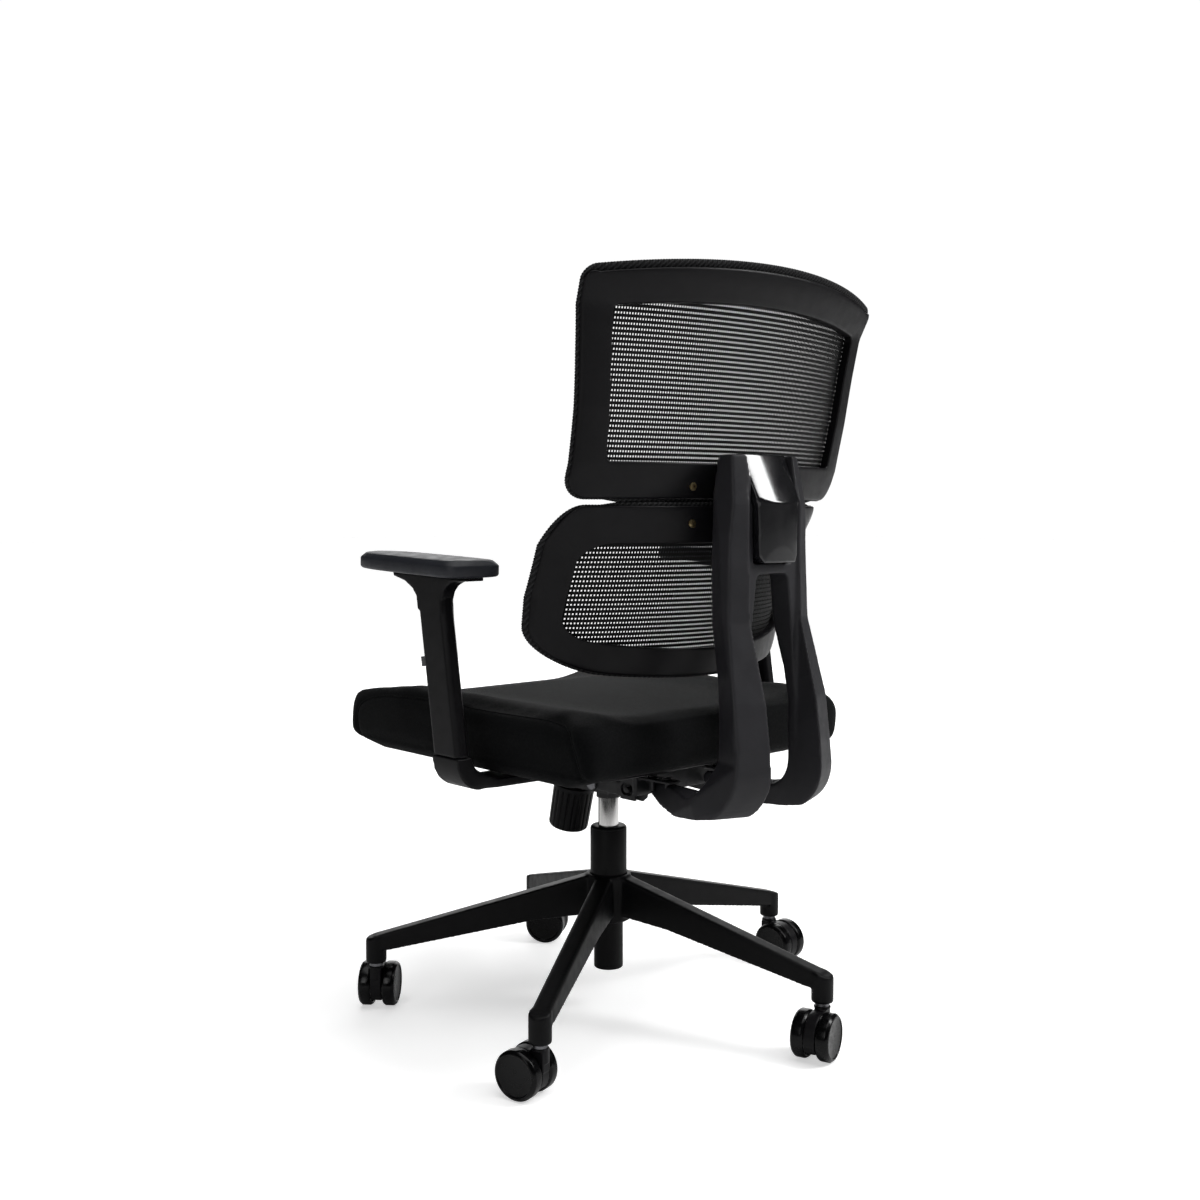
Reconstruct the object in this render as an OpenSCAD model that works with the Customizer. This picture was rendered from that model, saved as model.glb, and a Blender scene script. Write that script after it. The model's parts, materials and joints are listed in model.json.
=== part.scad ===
// Swivel office chair with a mesh back, height-adjustable arms and a five-legged caster base.
// Millimetres. The origin is on the floor, on the column's axis. The sitter faces -Y and +Z is up.

/* [Base] */
// Distance from the column's axis to each caster stem
caster_circle_r = 319; // [290:1:340]
// Height of the hub's top above the floor
hub_top_z = 187; // [182:1:194]
// Width of a leg's flat top
leg_top_w = 24; // [20:1:30]
// Direction of the first leg, in degrees from +X
first_leg_angle = 32.6; // [0:0.1:71]

/* [Casters] */
// Outer diameter of a caster wheel
wheel_d = 60; // [56:1:62]
// Width of one wheel
wheel_w = 17.5; // [16:0.5:20]
// Horizontal distance from the stem to the axle
caster_trail = 20; // [16:1:24]
// Width of the hood between the wheels
hood_w = 15; // [14:0.2:16.4]

/* [Column] */
// Outer diameter of the column tube
tube_d = 50; // [48:1:52]
// Outer diameter of the chrome gas cylinder
cylinder_d = 28; // [26:1:28]
// Height of the tube's top above the floor
tube_top_z = 249; // [240:1:252]

/* [Seat] */
// Width of the seat cushion
seat_w = 480; // [460:5:484]
// Y of the cushion's front edge
seat_front_y = -300; // [-306:1:-285]
// Y of the cushion's rear edge
seat_rear_y = 220; // [210:1:225]
// Height of the cushion's upper edge at the side
seat_top_z = 451; // [440:1:455]

/* [Arms] */
// Distance from the middle to the centre of an arm sleeve
arm_x = 287; // [280:1:295]
// Forward lean of the arms, in degrees
arm_lean = 9.2; // [4:0.2:12]
// Height of the arm pads' rear end above the floor
pad_z = 603; // [590:1:610]
// Length of an arm pad
pad_length = 226; // [200:1:240]

/* [Back] */
// Half width of the upper frame at its top corners
upper_half_w = 259; // [250:1:264]
// Height of the upper frame's top edge in the middle
back_top_z = 972; // [960:1:980]
// Half width of the lower frame at its widest
lower_half_w = 236; // [228:1:240]
// Thickness of both back frames at their openings
frame_t = 12; // [10:0.5:14]
// Slant of the spine's rear faces, in degrees
spine_slant = 22; // [16:1:24]

/* [Hidden] */
$fn = 64;

// Running clearance between a shaft and its bore, on the radius
run = 0.06;

// Base
leg_count = 5;
leg_slope_r = [20, caster_circle_r + 14];
leg_end_z = 101;
leg_slope = atan((hub_top_z - leg_end_z) / (leg_slope_r[1] - leg_slope_r[0]));
hub_bottom_z = 122;
hub_r = 31;
socket_r = leg_top_w / 2 + 2;
socket_bottom_z = 66;
stem_r = 5.5;

// Column
tube_r = tube_d / 2;
tube_foot_r = 20;
tube_bottom_z = 54.5;
tube_plate_t = 3;
tube_bore_r = 17.5;
bush_r = 22;
bush_bottom_z = 165;
cylinder_r = cylinder_d / 2;
cylinder_bottom_z = 100;
cylinder_top_z = 318;
cylinder_bore = [106, 300];
cylinder_bore_r = 12;
rod_r = 5;
pin_r = 3.5;

// Tilt mechanism
housing_half_w = 50;
housing_y = [-112, 52];
housing_bottom_z = 309;
housing_top_z = 332;
sheet_t = 3;
tilt_axle_at = [30, 322];
tilt_axle_r = 6;
front_axle_at = [-95, 325];
front_axle_r = 5;
link_pin_at = [104, 325];
ear_x = 53.3;
ear_t = 4;
link_ear_x = 59;
knob_top_at = [0, -70, 300];
knob_tilt = 13;
knob_length = 64;
lever_pivot_at = [-40, 0, 327];
lever_rod_r = 4;
lever_bush_r = 7;
lever_grip_at = [-205, -45, 327];

// Seat
seat_plate_z = [353, 356];
seat_cover_z = [356, 366];
seat_board_z = [361.5, 371.5];
cushion_bottom_z = 366.3;
board_gap = 0.5;
board_half_w = 195;
board_y = [-232, 182];

// Arms
arm_seam_y = 28;
arm_seam_z = 386;
sleeve_half_t = 10;
sleeve_half_w = 26;
post_half = [4.5, 14];
post_foot = -18;
post_top = 150;
sleeve_bore_top = 168;
pad_rear_y = 66;
pad_t = 21.5;
pad_rise = 2;
// How far the pad reaches inward and outward from the arm's axis
pad_reach = [56, 28];
button_at = [3.5, -sleeve_half_w, 118.5];
button_size = [9, 7, 14];

// Back
spine_at_x = 72;
cap_half_w = 38;
frame_edge_t = 4;
// Middle line of each frame's rear face: [height, distance behind the column's axis]
upper_line = [[690, 228], [737, 246], [800, 260], [860, 270], [912, 280], [947, 297], [980, 309]];
lower_line = [[470, 188], [522, 201], [580, 222], [643, 236], [692, 241]];
// Bend of each frame seen from above: [height, radius]
upper_bend = [[690, 620], [990, 620]];
lower_bend = [[470, 315], [522, 306], [580, 293], [643, 325], [692, 430]];
// Each outline: half width at the bottom and the top, height of the bottom's middle and of the top corners,
// rise of the top's middle, rise of the bottom's ends, how late the sides flare, and the corners' share of
// the half sides as [across, up] for the top and the bottom
upper_outer = [upper_half_w - 19, upper_half_w, 696, back_top_z - 20, 20, 0, 2, [0.06, 0.12], [0.115, 0.22]];
upper_inner = [upper_half_w - 58, upper_half_w - 43, 740, 912, 12, 0, 1, [0.035, 0.08], [0.035, 0.08]];
lower_outer = [lower_half_w - 7, lower_half_w + 1, 475, 690.5, 0, 20, 1, [0.13, 0.46], [0.36, 0.52]];
lower_inner = [lower_half_w - 35, lower_half_w - 37, 512, 644, 0, 20, 1, [0.17, 0.42], [0.17, 0.45]];
side_steps = 8;
corner_steps = 6;
band_steps = 4;
mesh_gap = 2;
mesh_t = 1.2;
mesh_rings = 3;

// Casters: trail direction of each, in degrees from +X, then the axle and the wheels' place on it
trail_angles = [285, 18, 94, 127, 223];
axle_r = 4;
axle_at = [caster_trail, wheel_d / 2];
wheel_inner = hood_w / 2 + 0.3;
wheel_outer = wheel_inner + wheel_w;
wheel_cap = [wheel_outer - 3, wheel_outer - 1.4];

// ---------- shapes used by several pieces ----------

// Box between two opposite corners
module slab(low, high) {
    translate(low) cube(high - low);
}

// Round bar along X, Y or Z from a centre point
module bar_x(x0, x1, yz, r) {
    translate([x0, yz[0], yz[1]]) rotate([0, 90, 0]) cylinder(h = x1 - x0, r = r);
}

module bar_y(y0, y1, xz, r) {
    translate([xz[0], y1, xz[1]]) rotate([90, 0, 0]) cylinder(h = y1 - y0, r = r);
}

module bar_z(z0, z1, xy, r) {
    translate([xy[0], xy[1], z0]) cylinder(h = z1 - z0, r = r);
}

// Side view [y, z] pulled along X
module side_view(points, x0, x1) {
    translate([x0, 0, 0]) rotate([90, 0, 90]) linear_extrude(x1 - x0) polygon(points);
}

// Rear view [x, z] pulled along Y
module rear_view(points, y0, y1) {
    translate([0, y1, 0]) rotate([90, 0, 0]) linear_extrude(y1 - y0) polygon(points);
}

// Ring of revolution from a [radius, z] outline
module ring(points) {
    rotate_extrude($fn = 96) polygon(points);
}

module both_sides() {
    children();
    mirror([1, 0, 0]) children();
}

// Points on an arc
function arc(centre, r, from, to, steps = 8) =
    [for (i = [0 : steps]) let (a = from + (to - from) * i / steps) centre + r * [cos(a), sin(a)]];

function mix(a, b, t) = a + (b - a) * t;

// Flat plate with round corners
module round_plate(half_w, y, z, r) {
    translate([0, 0, z[0]]) linear_extrude(z[1] - z[0]) {
        translate([-half_w, y[0] + r]) square([2 * half_w, y[1] - y[0] - 2 * r]);
        translate([-half_w + r, y[0]]) square([2 * (half_w - r), y[1] - y[0]]);
        for (x = [-half_w + r, half_w - r], v = [y[0] + r, y[1] - r]) translate([x, v]) circle(r);
    }
}

// ---------- base ----------

module leg() {
    outline = [
        [20, 132], [60, 128], [100, 124], [caster_circle_r - 16, 85], [caster_circle_r + 2, 85],
        [caster_circle_r + 2, leg_end_z + 3.2], [leg_slope_r[0], hub_top_z]
    ];
    section = [
        [-leg_top_w / 2 + 2, 0], [leg_top_w / 2 - 2, 0], [leg_top_w / 2, -2],
        [leg_top_w / 2 + 4, -90], [-leg_top_w / 2 - 4, -90], [-leg_top_w / 2, -2]
    ];
    intersection() {
        rotate([90, 0, 0]) linear_extrude(60, center = true) polygon(outline);
        on_leg_top() linear_extrude(caster_circle_r + 60) polygon(section);
    }
    difference() {
        bar_z(socket_bottom_z, leg_end_z + 10, [caster_circle_r, 0], socket_r);
        on_leg_top() linear_extrude(caster_circle_r + 60) polygon([[-30, -1], [30, -1], [30, 40], [-30, 40]]);
    }
}

// Places a section's children along a leg's sloping top
module on_leg_top() {
    translate([leg_slope_r[0] - 10, 0, hub_top_z + 10 * tan(leg_slope)]) rotate([0, leg_slope, 0])
        rotate([90, 0, 90]) children();
}

// Hollows between the ribs under a leg
module leg_pockets() {
    pocket_count = 4;
    for (i = [0 : pocket_count - 1]) {
        near = 78 + i * 52;
        far = near + 46;
        roof = [for (r = [near, far]) hub_top_z - (r - leg_slope_r[0]) * tan(leg_slope) - 9];
        rotate([90, 0, 0]) linear_extrude(leg_top_w - 9, center = true)
            polygon([[near, 60], [far, 60], [far, roof[1]], [near, roof[0]]]);
    }
}

module star_base() {
    color("#17181a") difference() {
        union() {
            bar_z(hub_bottom_z, hub_top_z, [0, 0], hub_r);
            for (k = [0 : leg_count - 1]) rotate([0, 0, first_leg_angle + 360 / leg_count * k]) leg();
        }
        bar_z(hub_bottom_z - 1, hub_top_z + 1, [0, 0], tube_r);
        for (k = [0 : leg_count - 1]) rotate([0, 0, first_leg_angle + 360 / leg_count * k]) {
            leg_pockets();
            bar_z(60, 98, [caster_circle_r, 0], stem_r + run);
        }
    }
}

module column_tube() {
    step_z = 119;
    color("#1c1d1f") ring([
        [stem_r, tube_bottom_z], [tube_foot_r - 1, tube_bottom_z], [tube_foot_r, tube_bottom_z + 1],
        [tube_foot_r, step_z], [tube_r, step_z + 2], [tube_r, tube_top_z], [bush_r, tube_top_z],
        [bush_r, bush_bottom_z], [tube_bore_r, bush_bottom_z], [tube_bore_r, tube_bottom_z + tube_plate_t],
        [stem_r, tube_bottom_z + tube_plate_t]
    ]);
}

module column_bush() {
    bore = cylinder_r + run;
    color("#111213") ring([
        [bore, bush_bottom_z], [bush_r, bush_bottom_z], [bush_r, tube_top_z], [tube_r - 0.4, tube_top_z],
        [tube_r - 0.4, tube_top_z + 1.5], [tube_r - 2.5, tube_top_z + 3.5], [bore, tube_top_z + 3.5]
    ]);
}

module thrust_bearing() {
    low = tube_bottom_z + tube_plate_t;
    color("#b9bcc0") ring([[5.4, low], [12, low], [12, low + 5], [5.4, low + 5]]);
}

module column_clip() {
    color("#8d9094") ring([[rod_r, 51], [8.5, 51], [8.5, 53.6], [rod_r, 53.6]]);
}

module piston_rod() {
    color("#c9ccd0") {
        bar_z(50, 226, [0, 0], rod_r);
        bar_z(218, 226, [0, 0], cylinder_bore_r - 0.08);
    }
}

module gas_cylinder() {
    color("#d6d8db") difference() {
        bar_z(cylinder_bottom_z, cylinder_top_z, [0, 0], cylinder_r);
        bar_z(cylinder_bore[0], cylinder_bore[1], [0, 0], cylinder_bore_r);
        bar_z(cylinder_bottom_z - 1, cylinder_bore[0] + 1, [0, 0], rod_r + 0.08);
        bar_z(cylinder_bore[1] - 1, cylinder_top_z + 1, [0, 0], pin_r + run);
    }
}

module release_pin() {
    color("#b3262a") bar_z(296, lever_pivot_at[2] - lever_rod_r - 0.2, [0, 0], pin_r);
}

// ---------- tilt mechanism ----------

// Places children along the tension knob's axis, with their own +Z pointing down it
module on_knob_axis() {
    translate(knob_top_at) rotate([180 - knob_tilt, 0, 0]) children();
}

module mechanism_housing() {
    w = housing_half_w;
    wall_top = [
        [housing_y[0], housing_bottom_z], [housing_y[1], housing_bottom_z], [housing_y[1], 326],
        [tilt_axle_at[0], housing_top_z], [-100, housing_top_z + 1], [housing_y[0], 324]
    ];
    color("#232426") difference() {
        union() {
            slab([-w, housing_y[0], housing_bottom_z], [w, housing_y[1], housing_bottom_z + sheet_t]);
            both_sides() side_view(wall_top, w - sheet_t, w);
            slab([-w, housing_y[0], housing_bottom_z], [w, housing_y[0] + sheet_t, 323]);
            slab([-w, housing_y[1] - sheet_t, housing_bottom_z], [w, housing_y[1], 325]);
            ring([[0, 303], [24, 303], [47, housing_bottom_z], [0, housing_bottom_z]]);
            bar_z(292, cylinder_top_z, [0, 0], cylinder_r + 2.6);
            for (y = [-12, 8]) slab([-w, y, housing_bottom_z], [lever_pivot_at[0] + 9, y + 4, 336.5]);
        }
        bar_z(290, cylinder_top_z + 1, [0, 0], cylinder_r);
        bar_x(-60, 60, tilt_axle_at, tilt_axle_r);
        bar_x(-60, 60, front_axle_at, front_axle_r);
        bar_y(-13, 13, [lever_pivot_at[0], lever_pivot_at[2]], lever_bush_r + run);
        slab([-w - 1, -6, 318], [-w + sheet_t + 1, 6, 340]);
        on_knob_axis() bar_z(-40, 10, [0, 0], 5);
    }
}

module headed_axle(at, r, head_r) {
    bar_x(-60, 60, at, r);
    both_sides() bar_x(57.6, 60.6, at, head_r);
}

module tilt_axle() {
    color("#9a9da1") headed_axle(tilt_axle_at, tilt_axle_r, 8);
}

module front_axle() {
    color("#9a9da1") headed_axle(front_axle_at, front_axle_r, 7.5);
}

// Coil around the tension bolt, inside the housing
module tension_spring() {
    coil_r = 12;
    wire_r = 2.2;
    turns = 3;
    pitch = 4.8;
    steps = 20;
    sides = 8;
    count = turns * steps;
    centres = [for (i = [0 : count]) let (a = 360 * i / steps)
        [coil_r * cos(a), coil_r * sin(a), -18.5 - pitch * i / steps]];
    points = [for (i = [0 : count], j = [0 : sides - 1]) let (a = 360 * i / steps, b = 360 * j / sides)
        centres[i] + wire_r * [cos(b) * cos(a), cos(b) * sin(a), sin(b)]];
    ends = [[for (j = [0 : sides - 1]) j], [for (j = [sides - 1 : -1 : 0]) count * sides + j]];
    walls = [for (i = [0 : count - 1], j = [0 : sides - 1]) let (
        a = i * sides + j, b = i * sides + (j + 1) % sides, c = a + sides, d = b + sides
    ) each [[a, c, d], [a, d, b]]];
    color("#6f7276") on_knob_axis() polyhedron(points, concat(ends, walls));
}

module tension_bolt() {
    color("#8f9296") on_knob_axis() {
        bar_z(-33, knob_length - 14, [0, 0], 5);
        bar_z(-37, -33, [0, 0], 8);
    }
}

module tension_knob() {
    grip_count = 20;
    color("#18191b") on_knob_axis() difference() {
        ring([[0, 0], [29, 0], [27.8, knob_length - 3], [25, knob_length], [0, knob_length]]);
        bar_z(-1, knob_length - 12, [0, 0], 5 + run);
        for (k = [0 : grip_count - 1]) rotate([0, 0, 360 / grip_count * k])
            slab([26.6, -1.3, 6], [33, 1.3, knob_length + 1]);
    }
}

module lever_bush() {
    color("#202224") difference() {
        bar_y(-12, 12, [lever_pivot_at[0], lever_pivot_at[2]], lever_bush_r);
        bar_x(lever_pivot_at[0] - 10, lever_pivot_at[0] + 10, [0, lever_pivot_at[2]], lever_rod_r + run);
    }
}

// Bent rod: straight through the bush, forward under the seat, then out to the grip
module lever_rod() {
    z = lever_pivot_at[2];
    bend = -64;
    elbow = [bend - 45, lever_grip_at[1]];
    color("#17181a") {
        bar_x(bend, 14, [0, z], lever_rod_r);
        translate([bend, 0, z]) sphere(lever_rod_r);
        translate([bend, 0, z]) rotate([0, 90, 225]) cylinder(h = 45 * sqrt(2), r = lever_rod_r);
        translate([elbow[0], elbow[1], z]) sphere(lever_rod_r);
        bar_x(lever_grip_at[0], elbow[0], [lever_grip_at[1], z], lever_rod_r);
    }
}

module lever_paddle() {
    tip = lever_grip_at[0] - 50;
    color("#141517") difference() {
        hull() {
            translate([lever_grip_at[0] + 22, lever_grip_at[1], 321]) cylinder(h = 11, r = 9, $fn = 32);
            translate([tip, lever_grip_at[1] - 9, 318]) cylinder(h = 8, r = 8, $fn = 32);
            translate([tip, lever_grip_at[1] + 9, 318]) cylinder(h = 8, r = 8, $fn = 32);
        }
        bar_x(lever_grip_at[0], lever_grip_at[0] + 40, [lever_grip_at[1], lever_grip_at[2]], lever_rod_r);
    }
}

// ---------- seat ----------

module seat_plate() {
    low = seat_plate_z[0];
    color("#28292b") difference() {
        union() {
            round_plate(70, [-120, 116], seat_plate_z, 12);
            both_sides() {
                slab([ear_x, -108, 318], [ear_x + ear_t, -82, low + 1]);
                bar_x(ear_x, ear_x + ear_t, front_axle_at, 12);
                slab([link_ear_x, link_pin_at[0] - 14, 312], [link_ear_x + ear_t, 116, low + 1]);
            }
        }
        bar_x(-70, 70, front_axle_at, front_axle_r + run);
        for (y = [-3, 3]) bar_x(-70, 70, [link_pin_at[0] - 2 + y, link_pin_at[1]], 8);
        slab([-35, -40, low - 1], [35, 45, 360]);
    }
}

module seat_board() {
    color("#b08a5b") round_plate(board_half_w, board_y, seat_board_z, 45);
}

// Shallow dish under the board
module seat_cover() {
    wall = 4;
    rim_z = seat_board_z[0] - 1;
    color("#1b1c1e") difference() {
        hull() {
            round_plate(board_half_w - 35, [board_y[0] + 45, board_y[1] - 35], [seat_cover_z[0], rim_z], 35);
            round_plate(
                board_half_w + wall, [board_y[0] - wall, board_y[1] + wall],
                [rim_z, seat_cover_z[1]], 49
            );
        }
        round_plate(board_half_w + 0.3, [board_y[0] - 0.3, board_y[1] + 0.3], [seat_board_z[0], 367], 45.3);
    }
}

// Trough with a flat bottom at z = 0 that curves up towards the seat's sides
module saddle() {
    flat_half_w = 110;
    side_r = 325;
    both_sides() bar_y(-400, 400, [flat_half_w, side_r], side_r, $fn = 96);
    slab([-flat_half_w, -400, 0], [flat_half_w, 400, 100]);
}

// Foam and cover as one solid: raised sides, a front that falls away, and a hollow over the board
module seat_cushion() {
    half_w = seat_w / 2;
    edge_r = 30;
    foot_r = 20;
    nose_r = 36;
    lip_r = 18;
    dip_r = 1100;
    rear_top_z = seat_top_z - 13;
    saddle_z = seat_top_z - 21;
    color("#1a1c1e") difference() {
        hull() for (s = [-1, 1]) {
            translate([s * (half_w - edge_r), seat_rear_y - edge_r, rear_top_z - edge_r])
                sphere(edge_r, $fn = 32);
            translate([s * (half_w - edge_r), -160, seat_top_z - edge_r]) sphere(edge_r, $fn = 32);
            translate([s * (half_w - nose_r - 3), seat_front_y + nose_r + 4, seat_top_z - nose_r - 6])
                sphere(nose_r, $fn = 32);
            translate([s * (half_w - lip_r - 5), seat_front_y + lip_r + 10, cushion_bottom_z + lip_r])
                sphere(lip_r, $fn = 32);
            translate([s * (half_w - foot_r - 4), seat_rear_y - foot_r - 4, cushion_bottom_z + foot_r])
                sphere(foot_r, $fn = 32);
        }
        translate([0, 0, saddle_z]) saddle();
        translate([0, -150, saddle_z]) rotate([8, 0, 0]) saddle();
        bar_x(-300, 300, [60, rear_top_z - 1 + dip_r], dip_r, $fn = 128);
        round_plate(
            board_half_w + board_gap, [board_y[0] - board_gap, board_y[1] + board_gap],
            [300, seat_board_z[1] + 0.3], 46
        );
    }
}

module seat_screws() {
    spots = concat(
        [for (x = [-150, -120, 120, 150], y = [22, 46]) [x, y, 343.8]],
        [for (x = [-60, 60], y = [-60, 60]) [x, y, seat_plate_z[0]]]
    );
    color("#a5a8ac") for (p = spots) {
        bar_z(p[2] - 2.6, p[2], [p[0], p[1]], 5);
        bar_z(p[2] - 1, 367, [p[0], p[1]], 2.5);
    }
}

// ---------- arms, drawn for the sitter's left ----------

// Places children on the leaning post's axis, with their own origin on the seam
module on_arm_axis() {
    translate([arm_x, arm_seam_y, arm_seam_z]) rotate([arm_lean, 0, 0]) children();
}

module arm_bracket() {
    outer = arm_x + sleeve_half_t;
    inner = arm_x - sleeve_half_t;
    // Inner end, underside and top of the flat bar under the seat
    bar = [100, 343, 356];
    elbow = concat(
        [[outer, arm_seam_z]], arc([outer - 32, 378], 32, 0, -82, 10),
        [[bar[0], bar[1]], [bar[0], bar[2]], [board_half_w + 16, bar[2]]],
        arc([inner - 20, bar[2] + 20], 20, -90, 0, 6),
        [[inner, arm_seam_z]]
    );
    seam = [for (s = [-1, 1]) arm_seam_y + s * sleeve_half_w / cos(arm_lean)];
    lean = [[seam[0] + 7, 330], [seam[1] + 8, 330], [seam[1], arm_seam_z + 1], [seam[0], arm_seam_z + 1]];
    color("#17181a") difference() {
        intersection() {
            rear_view(elbow, -20, 90);
            side_view(lean, 90, 320);
        }
        on_arm_axis() slab([-post_half[0], -post_half[1], post_foot], [post_half[0], post_half[1], 10]);
    }
}

module arm_post() {
    color("#55585c") on_arm_axis()
        slab([-post_half[0], -post_half[1], post_foot], [post_half[0], post_half[1], post_top]);
}

// Places children at the pad's rear end, with the pad's own slope
module on_pad() {
    translate([0, pad_rear_y, pad_z]) rotate([-pad_rise, 0, 0]) children();
}

module arm_sleeve() {
    t = sleeve_half_t;
    w = sleeve_half_w;
    cut = 5;
    gap = 0.4;
    edges = [for (z = [562, 584], across = [-w, w - 4])
        arm_seam_y - (z - arm_seam_z) * tan(arm_lean) + across / cos(arm_lean)];
    neck = concat(
        [[edges[0], 562], [edges[2], 584]], arc([edges[2] - 22, 584], 22, 0, 90, 6),
        [[edges[2] - 22, 615], [edges[3] + 20, 615]], arc([edges[3] + 20, 586], 20, 90, 180, 6),
        [[edges[1], 562]]
    );
    plug = button_size / 2;
    color("#17181a") difference() {
        intersection() {
            union() {
                on_arm_axis() translate([0, 0, -20]) linear_extrude(260) polygon([
                    [-t, -w + cut], [-t + cut, -w], [t - cut, -w], [t, -w + cut],
                    [t, w - cut], [t - cut, w], [-t + cut, w], [-t, w - cut]
                ]);
                side_view(neck, arm_x - t, arm_x + t);
                on_pad() slab([arm_x - 40, -126, -6], [arm_x + t, -24, 0]);
            }
            slab([arm_x - 40, -80, arm_seam_z + gap], [arm_x + 40, 90, 620]);
            on_pad() slab([0, -200, -300], [400, 60, 0]);
        }
        on_arm_axis() {
            slab(
                [-post_half[0] - gap, -post_half[1] - gap, post_foot],
                [post_half[0] + gap, post_half[1] + gap, sleeve_bore_top]
            );
            translate(button_at) {
                slab([-plug[0] - 0.3, -6, -plug[2] - 0.3], [plug[0] + 0.3, 10, plug[2] + 0.3]);
                translate([4, -13, 0]) sphere(17);
            }
        }
    }
}

module arm_button() {
    plug = button_size / 2;
    color("#0f1011") on_arm_axis() translate(button_at) difference() {
        slab([-plug[0], -button_size[1], -plug[2]], [plug[0], 5.5, plug[2]]);
        for (z = [-4, 0, 4]) bar_x(-plug[0] - 1, plug[0] + 1, [-button_size[1] - 0.6, z], 1.1);
    }
}

// Plan of the arm pad, drawn inset from its outline, with its rear end at zero
function pad_plan(inset) = let (
    rear = -inset, front = inset - pad_length,
    out = arm_x + pad_reach[1] - inset, in = arm_x - pad_reach[0] + inset
) [
    [in, front + 62], [in + 6, front + 26], [in + 16, front + 6], [in + 30, front], [out - 34, front],
    [out - 15, front + 9], [out - 4, front + 34], [out, front + 80], [out, rear - 40], [out - 7, rear - 12],
    [out - 24, rear], [in + 14, rear], [in, rear - 16]
];

module arm_pad() {
    color("#2a2c31") on_pad() hull() {
        linear_extrude(1) polygon(pad_plan(5));
        translate([0, 0, 6]) linear_extrude(9) polygon(pad_plan(0));
        translate([0, 0, pad_t - 1]) linear_extrude(1) polygon(pad_plan(6));
    }
}

// ---------- back ----------

module back_bracket() {
    plate_x = [53, 57];
    arm_outline = [
        [26, 315], [124, 312], [131.5, 318], [131.5, 347.2], [124, 347.2], [118, 334], [60, 331], [26, 329]
    ];
    color("#232426") difference() {
        union() {
            both_sides() {
                side_view(arm_outline, plate_x[0], plate_x[1]);
                bar_x(plate_x[0], plate_x[1], tilt_axle_at, 10);
                bar_x(plate_x[1], 66, link_pin_at, 4);
                slab([50, 124, 343.4], [70, 186, 347.2]);
            }
            slab([-74, 124, 322], [74, 131.5, 347.2]);
        }
        bar_x(-70, 70, tilt_axle_at, tilt_axle_r + run);
    }
}

// Side view of a leg at its outer edge: the rear line goes down, round the heel and forward under the seat
spine_side = concat(
    [[250, 750], [272, 750], [284, 690], [283, 640], [286, 552], [311, 457], [318, 404]],
    arc([260, 372], 60, 0, -62, 8),
    [[259, 314], [219, 311], [166, 316], [118, 326], [118, 343], [207, 339]],
    arc([229, 375], 38, -90, 0, 6),
    [[267, 449], [261, 490], [245, 549], [243, 607]]
);

// Rear view of one half of the spine, with the cap's slot above the window
spine_rear = concat(
    [[0, 620], [0, 607]], arc([21, 599], 8, 90, 0, 4),
    [[35, 553], [43, 459], [45, 404], [48, 290], [98, 290], [95, 330], [86, 404], [86, 457]],
    [[74, 552], [73, 577], [70, 658], [67, 690], [60, 750]],
    [[cap_half_w + 3.5, 750], [cap_half_w + 0.5, 693], [cap_half_w - 1.5, 690], [cap_half_w - 3.5, 620]]
);

// The slanted outer face of a leg, seen square to it: it runs out below the heel
spine_flank = [[-230, 280], [-50, 280], [-76, 345], [-101, 385], [-101, 760], [-230, 760]];

module spine() {
    front = [[243, 607], [243, 691], [234.5, 700], [249, 738], [251, 748], [262, 748], [270, 693], [270, 607]];
    slanted = [for (p = spine_side) [p[0] * cos(spine_slant), p[1]]];
    plan = [[-1, 132], [74, 132], [92, 230], [110, 330], [110, 360], [46, 360], [46, 290], [-1, 290]];
    color("#1a1b1d") {
        both_sides() intersection() {
            translate([spine_at_x, 0, 0]) rotate([0, 0, -spine_slant]) intersection() {
                side_view(slanted, -230, 60);
                rear_view(spine_flank, 50, 420);
            }
            rear_view(spine_rear, 100, 360);
            translate([0, 0, 280]) linear_extrude(480) polygon(plan);
        }
        side_view(front, -cap_half_w - 8, cap_half_w + 8);
    }
}

module spine_cap() {
    side = [[270.4, 621], [299, 621], [300.5, 640], [300.5, 693], [273.5, 751], [262.4, 751], [270.4, 693]];
    half = cap_half_w;
    one_half = [
        [0, 621], [half - 10, 621], [half - 4, 629], [half - 2, 690],
        [half, 693], [half + 3, 749], [half + 1, 751], [0, 751]
    ];
    color("#050506") intersection() {
        side_view(side, -half - 5, half + 5);
        both_sides() rear_view(one_half, 250, 310);
        bar_z(600, 770, [0, 10.5], 290);
    }
}

// Rear face of a back frame: middle line less the bend
function rear_face(x, z, line, bend) = let (r = lookup(z, bend)) lookup(z, line) - (r - sqrt(r * r - x * x));

// Closed outline in unit coordinates, anticlockwise from the right side's lower end
function unit_outline(top, bottom) = let (
    corner = function (centre, size, from) [for (i = [0 : corner_steps - 1])
        let (a = from + 90 * i / corner_steps) [centre[0] + size[0] * cos(a), centre[1] + size[1] * sin(a)]],
    side = function (from, to) [for (i = [0 : side_steps - 1]) mix(from, to, i / side_steps)]
) concat(
    side([1, bottom[1] - 1], [1, 1 - top[1]]), corner([1 - top[0], 1 - top[1]], top, 0),
    side([1 - top[0], 1], [top[0] - 1, 1]), corner([top[0] - 1, 1 - top[1]], top, 90),
    side([-1, 1 - top[1]], [-1, bottom[1] - 1]), corner([bottom[0] - 1, bottom[1] - 1], bottom, 180),
    side([bottom[0] - 1, -1], [1 - bottom[0], -1]), corner([1 - bottom[0], bottom[1] - 1], bottom, 270)
);

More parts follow.
